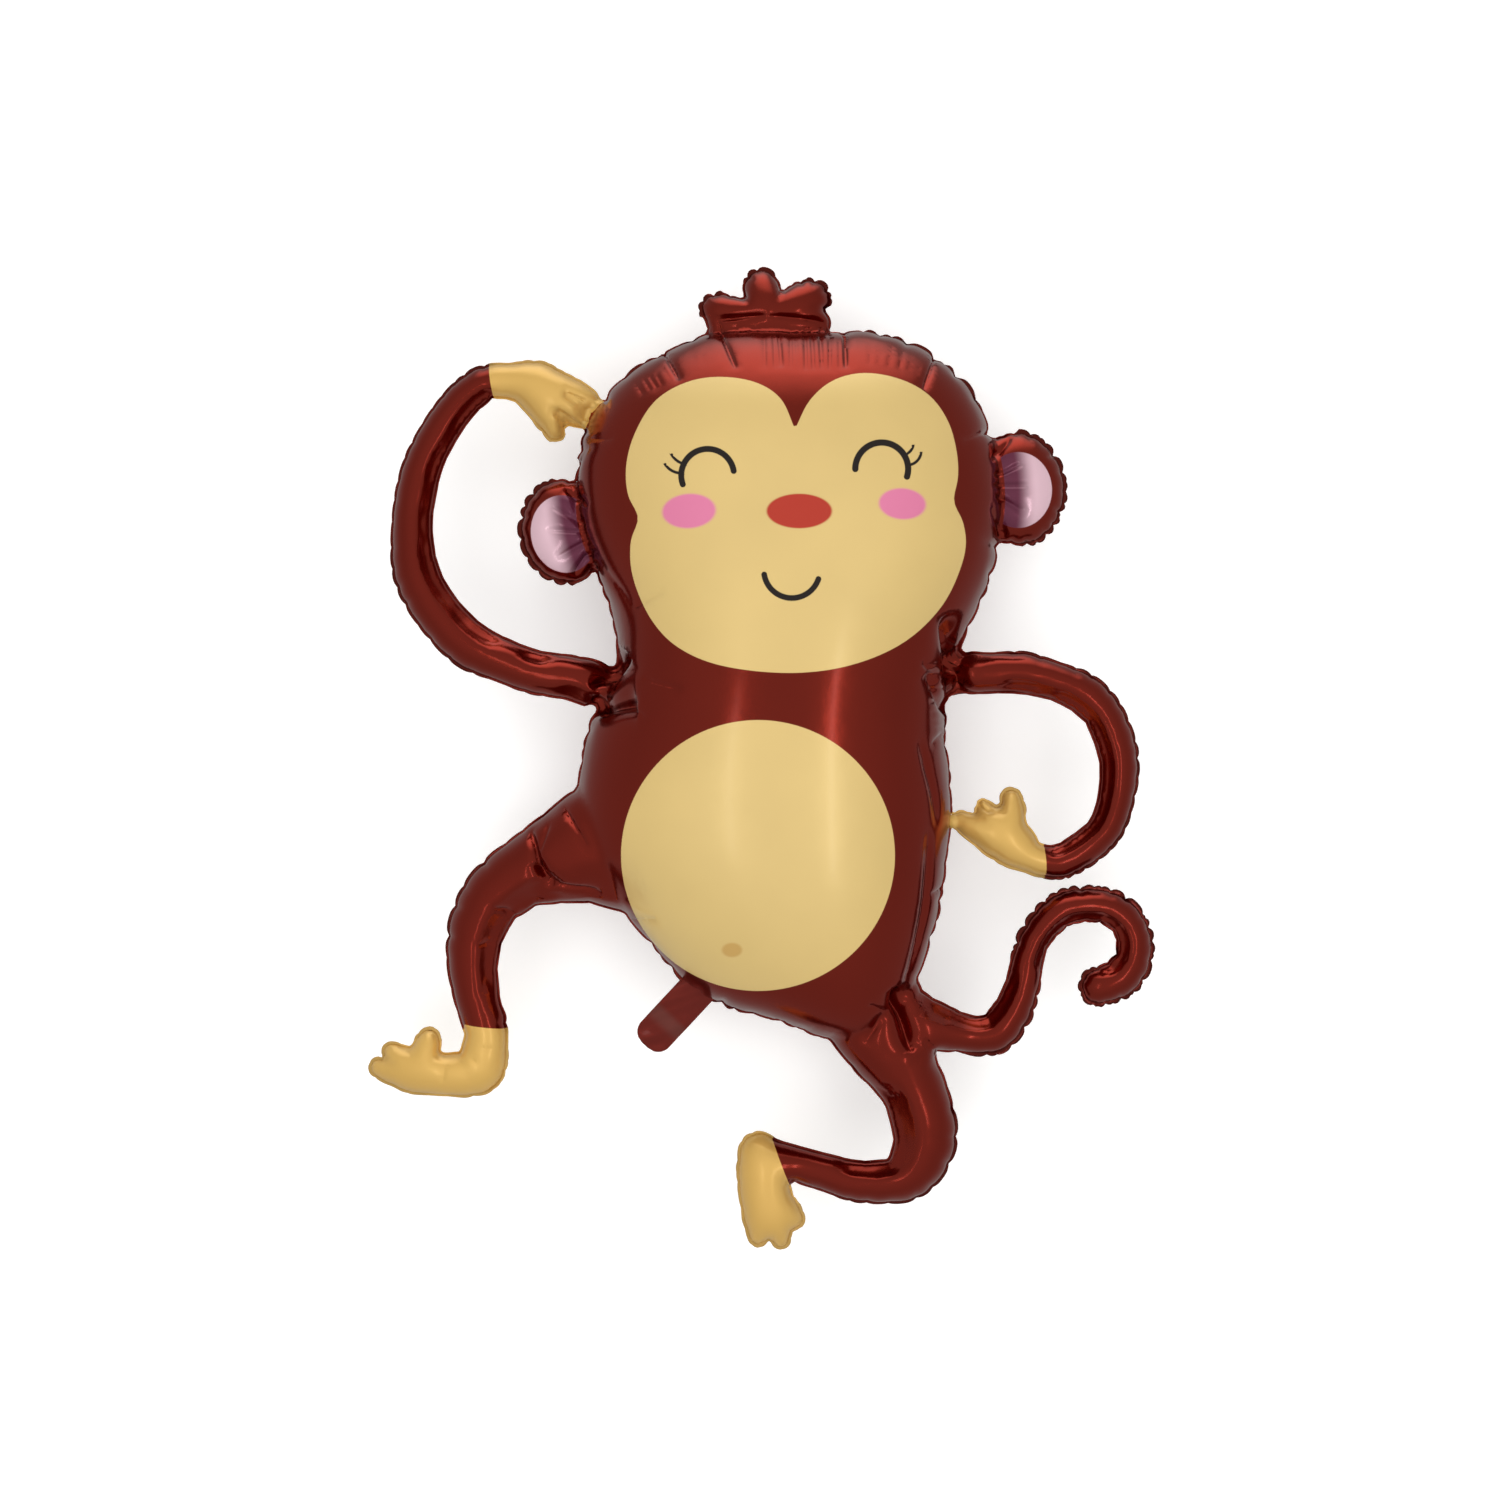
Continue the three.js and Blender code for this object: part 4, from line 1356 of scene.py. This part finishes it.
class OBJECT_OT_filling_neck(bpy.types.Operator):
    """Makes the flat filling neck, two films sealed along their edges"""

    bl_idname = "object.filling_neck"
    bl_label = "Filling neck"

    def execute(self, context):
        sizes = context.scene.balloon_sizes
        half, length = sizes.neck_width / MM / 2, sizes.neck_length / MM
        corner = min(NECK_CORNER, half)
        along = np.linspace(-NECK_TUCK, length, NECK_COLUMNS + 1)
        into_corner = np.maximum(along - (length - corner), 0)
        reach = half - corner + np.sqrt(np.maximum(corner ** 2 - into_corner ** 2, 0))
        across = np.sin(np.linspace(-1, 1, NECK_ROWS + 1) * math.pi / 2)
        u = np.repeat(along[:, None], NECK_ROWS + 1, axis=1)
        v = reach[:, None] * across[None, :]
        # The two films part a little in the middle, and lie in shallow folds across.
        open_share = np.clip((length - NECK_SEAL - u) / 10, 0, 1)
        part = NECK_THIN + NECK_PART * (1 - across[None, :] ** 2) * open_share
        (high, run), (tip_high, tip_run) = FOLD_ACROSS, FOLD_TIPPING
        fold = high * np.sin(u / run + 0.3 * v) + tip_high * np.sin(u / tip_run + 1.2) * (v / half)
        ca, sa = math.cos(NECK_ANGLE), math.sin(NECK_ANGLE)
        root = placed([NECK_ROOT])[0]
        x, y = root[0] + u * ca - v * sa, root[1] + u * sa + v * ca
        top = np.stack([x, y, fold + part], axis=-1).reshape(-1, 3)
        bottom = np.stack([x, y, fold - part], axis=-1).reshape(-1, 3)
        number = np.arange(u.size).reshape(u.shape)
        quads = np.stack([number[:-1, :-1], number[1:, :-1], number[1:, 1:], number[:-1, 1:]], axis=-1)
        quads = quads.reshape(-1, 4)
        rim = np.concatenate([number[:-1, 0], number[-1, :-1], number[:0:-1, -1], number[0, :0:-1]])
        onward = np.roll(rim, -1)
        walls = np.stack([onward, rim, rim + u.size, onward + u.size], axis=1)
        plain = np.vstack([top, bottom])
        lying = hanging(plain)
        neck = link_mesh("filling_neck", lying, np.vstack([quads, quads[:, ::-1] + u.size, walls]))
        close_up(neck, 0.02 * MM)
        finish_piece(neck, neck_film(root, length, context.scene.balloon_colours))
        return {"FINISHED"}


def neck_film(root, length, colours):
    """Metallised nylon film, extruded and vapour coated, flat and a little crumpled: a brown mirror.

    A greyer band across it is a painted reflection.
    """
    material, tree = blank_material("neck_film_painted_reflection")
    place = add(tree, "TexCoord").outputs["Object"]
    along = add(tree, "Mapping", {"vector_type": "TEXTURE"}, {
        "Vector": place, "Location": (root[0] * MM, root[1] * MM, 0), "Rotation": (0, 0, NECK_ANGLE)})
    run = add(tree, "SeparateXYZ", None, {0: along.outputs[0]}).outputs[0]
    shade = (*colours.neck, 1.0)
    # The greyer band across the neck is a painted reflection.
    for (share, soft), after in ((NECK_REFLECTION_START, colours.neck_reflection), (NECK_REFLECTION_END, colours.neck)):
        past = add(tree, "Math", {"operation": "MULTIPLY_ADD"}, {
            0: run, 1: 1 / MM, 2: -share * length})
        shade = add(tree, "Mix", {"data_type": "RGBA"}, {
            0: print_mask(tree, [past.outputs[0]], soft), 6: shade, 7: (*after, 1.0)}).outputs[2]
    dents = add(tree, "TexNoise", None, {
        "Vector": place, "Scale": 1 / (NECK_DENTS * MM), "Detail": 2.0}).outputs[0]
    bump = add(tree, "Bump", None, {"Height": dents, "Strength": 0.4, "Distance": 1.0 * MM})
    shader = add(tree, "BsdfPrincipled", None, {
        "Base Color": shade, "Metallic": 0.85, "Roughness": 0.3,
        "Coat Weight": 0.3, "Coat Roughness": 0.1, "Normal": bump.outputs[0]})
    add(tree, "OutputMaterial", None, {"Surface": shader.outputs[0]})
    return material


# The studio

# Brightness of the room that the film mirrors, and how high up its walls give way to the roof
WALL_LIGHT = 0.4
ROOF_LIGHT = 0.5
ROOF_FROM, ROOF_TO = 0.3, 1.0
# The bright screen beyond the crown, and how far round towards it the light starts and is full
SCREEN_LIGHT = 1.3
SCREEN_FROM, SCREEN_TO = 0.8, 0.98
ROOM_COLOUR = "#fbfaf8"
# Each light's place in metres, its sizes along X and Y, and its power in watts
FILL_LIGHT = ("fill_above", (0, 0, 3.4), 5.0, 5.0, 130)
STRIP_LIGHTS = [
    ("strip_left", (-0.84, -0.58, 2.93), 0.15, 1.3, 1.5),
    ("strip_right", (1.3, -0.6, 2.93), 0.15, 1.25, 2.4),
]
FLOOR_SIZE = 14
# The board lies this far under the balloon, so that the two faces don't fight.
FLOOR_GAP = 0.5 * MM
# How brightly the board is lit from behind, and how far apart the dimples of its surface are
BOARD_GLOW = 0.3
BOARD_PEEL = 3.333


def area_light(name, place, wide, high, watts):
    """A soft rectangular light that faces straight down, its sides along X and Y."""
    data = bpy.data.lights.new(name, "AREA")
    data.shape = "RECTANGLE"
    data.size, data.size_y = wide, high
    data.energy = watts
    lamp = bpy.data.objects.new(name, data)
    bpy.context.collection.objects.link(lamp)
    lamp.location = place
    return lamp


def studio_room():
    """Dim even walls, a little lighter overhead, with one broad bright screen beyond the crown."""
    world = bpy.data.worlds.new("studio_room")
    world.use_nodes = True
    tree = world.node_tree
    tree.nodes.clear()
    way = add(tree, "TexCoord").outputs["Generated"]
    along = add(tree, "SeparateXYZ", None, {0: way})
    walls = add(tree, "MapRange", {"interpolation_type": "SMOOTHSTEP"}, {
        "Value": along.outputs[2], "From Min": ROOF_FROM, "From Max": ROOF_TO,
        "To Min": WALL_LIGHT, "To Max": ROOF_LIGHT})
    screen = add(tree, "MapRange", None, {
        "Value": along.outputs[1], "From Min": SCREEN_FROM, "From Max": SCREEN_TO,
        "To Min": 0.0, "To Max": SCREEN_LIGHT})
    light = add(tree, "Math", {"operation": "ADD"}, {0: walls.outputs[0], 1: screen.outputs[0]})
    room = add(tree, "Background", None, {
        "Color": (*colour(ROOM_COLOUR), 1.0), "Strength": light.outputs[0]})
    add(tree, "OutputWorld", None, {"Surface": room.outputs[0]})
    return world


class OBJECT_OT_balloon_stage(bpy.types.Operator):
    """Makes the pale floor, the soft studio light and the camera straight above"""

    bl_idname = "object.balloon_stage"
    bl_label = "Studio and camera"

    def execute(self, context):
        bpy.ops.object.select_all(action="DESELECT")
        bpy.ops.mesh.primitive_plane_add(size=FLOOR_SIZE, location=(0, 0, -FLOOR_GAP))
        floor = context.object
        floor.name = "studio_floor"
        bpy.ops.object.transform_apply(location=True, rotation=True, scale=True)
        floor.data.materials.append(lit_board(context.scene.balloon_colours))

        # The fill and the floor light the inks, and stay out of the film's mirror gloss.
        floor.visible_glossy = False
        context.scene.world = studio_room()
        area_light(*FILL_LIGHT).visible_glossy = False
        for strip in STRIP_LIGHTS:
            area_light(*strip)

        bpy.ops.object.select_all(action="DESELECT")
        middle = FRAME_MIDDLE * MM
        high = SEAM_HEIGHT * MM + VIEW_DISTANCE
        bpy.ops.object.camera_add(location=(middle[0], middle[1], high), rotation=(0, 0, 0))
        camera = context.object
        camera.name = "view_from_above"
        camera.data.sensor_width = SENSOR
        camera.data.lens = SENSOR * VIEW_DISTANCE / FRAME_SIZE
        context.scene.camera = camera
        context.scene.view_settings.view_transform = "Standard"
        return {"FINISHED"}


def lit_board(colours):
    """Matt white acrylic, cast as a board and lit from behind: faintly dimpled, with hardly any gloss."""
    material, tree = blank_material("backlit_white_acrylic")
    place = add(tree, "TexCoord").outputs["Object"]
    peel = add(tree, "TexNoise", None, {
        "Vector": place, "Scale": 1 / (BOARD_PEEL * MM), "Detail": 2.0}).outputs[0]
    bump = add(tree, "Bump", None, {"Height": peel, "Strength": 0.05, "Distance": 0.5 * MM})
    shader = add(tree, "BsdfPrincipled", None, {
        "Base Color": (*colours.board, 1.0), "Roughness": 0.8, "Normal": bump.outputs[0],
        "Emission Color": (1.0, 1.0, 1.0, 1.0), "Emission Strength": BOARD_GLOW})
    add(tree, "OutputMaterial", None, {"Surface": shader.outputs[0]})
    return material


class VIEW3D_PT_balloon(bpy.types.Panel):
    """Lists the balloon's sizes and colours, and the steps that make it"""

    bl_label = "Monkey balloon"
    bl_idname = "VIEW3D_PT_balloon"
    bl_space_type = "VIEW_3D"
    bl_region_type = "UI"
    bl_category = "Balloon"

    def draw(self, context):
        for group in (context.scene.balloon_sizes, context.scene.balloon_colours):
            for name in type(group).__annotations__:
                self.layout.prop(group, name)
        for step in STEPS:
            self.layout.operator(step.bl_idname)


STEPS = (
    OBJECT_OT_balloon_stage,
    OBJECT_OT_balloon_film,
    OBJECT_OT_welded_seam,
    OBJECT_OT_filling_neck,
)
CLASSES = (BalloonSizes, BalloonColours, *STEPS, VIEW3D_PT_balloon)


def register():
    for kind in CLASSES:
        bpy.utils.register_class(kind)
    bpy.types.Scene.balloon_sizes = bpy.props.PointerProperty(type=BalloonSizes)
    bpy.types.Scene.balloon_colours = bpy.props.PointerProperty(type=BalloonColours)


def unregister():
    del bpy.types.Scene.balloon_sizes
    del bpy.types.Scene.balloon_colours
    for kind in reversed(CLASSES):
        bpy.utils.unregister_class(kind)


def main():
    register()
    bpy.ops.object.balloon_stage()
    bpy.ops.object.balloon_film()
    bpy.ops.object.welded_seam()
    bpy.ops.object.filling_neck()


if __name__ == "__main__":
    main()
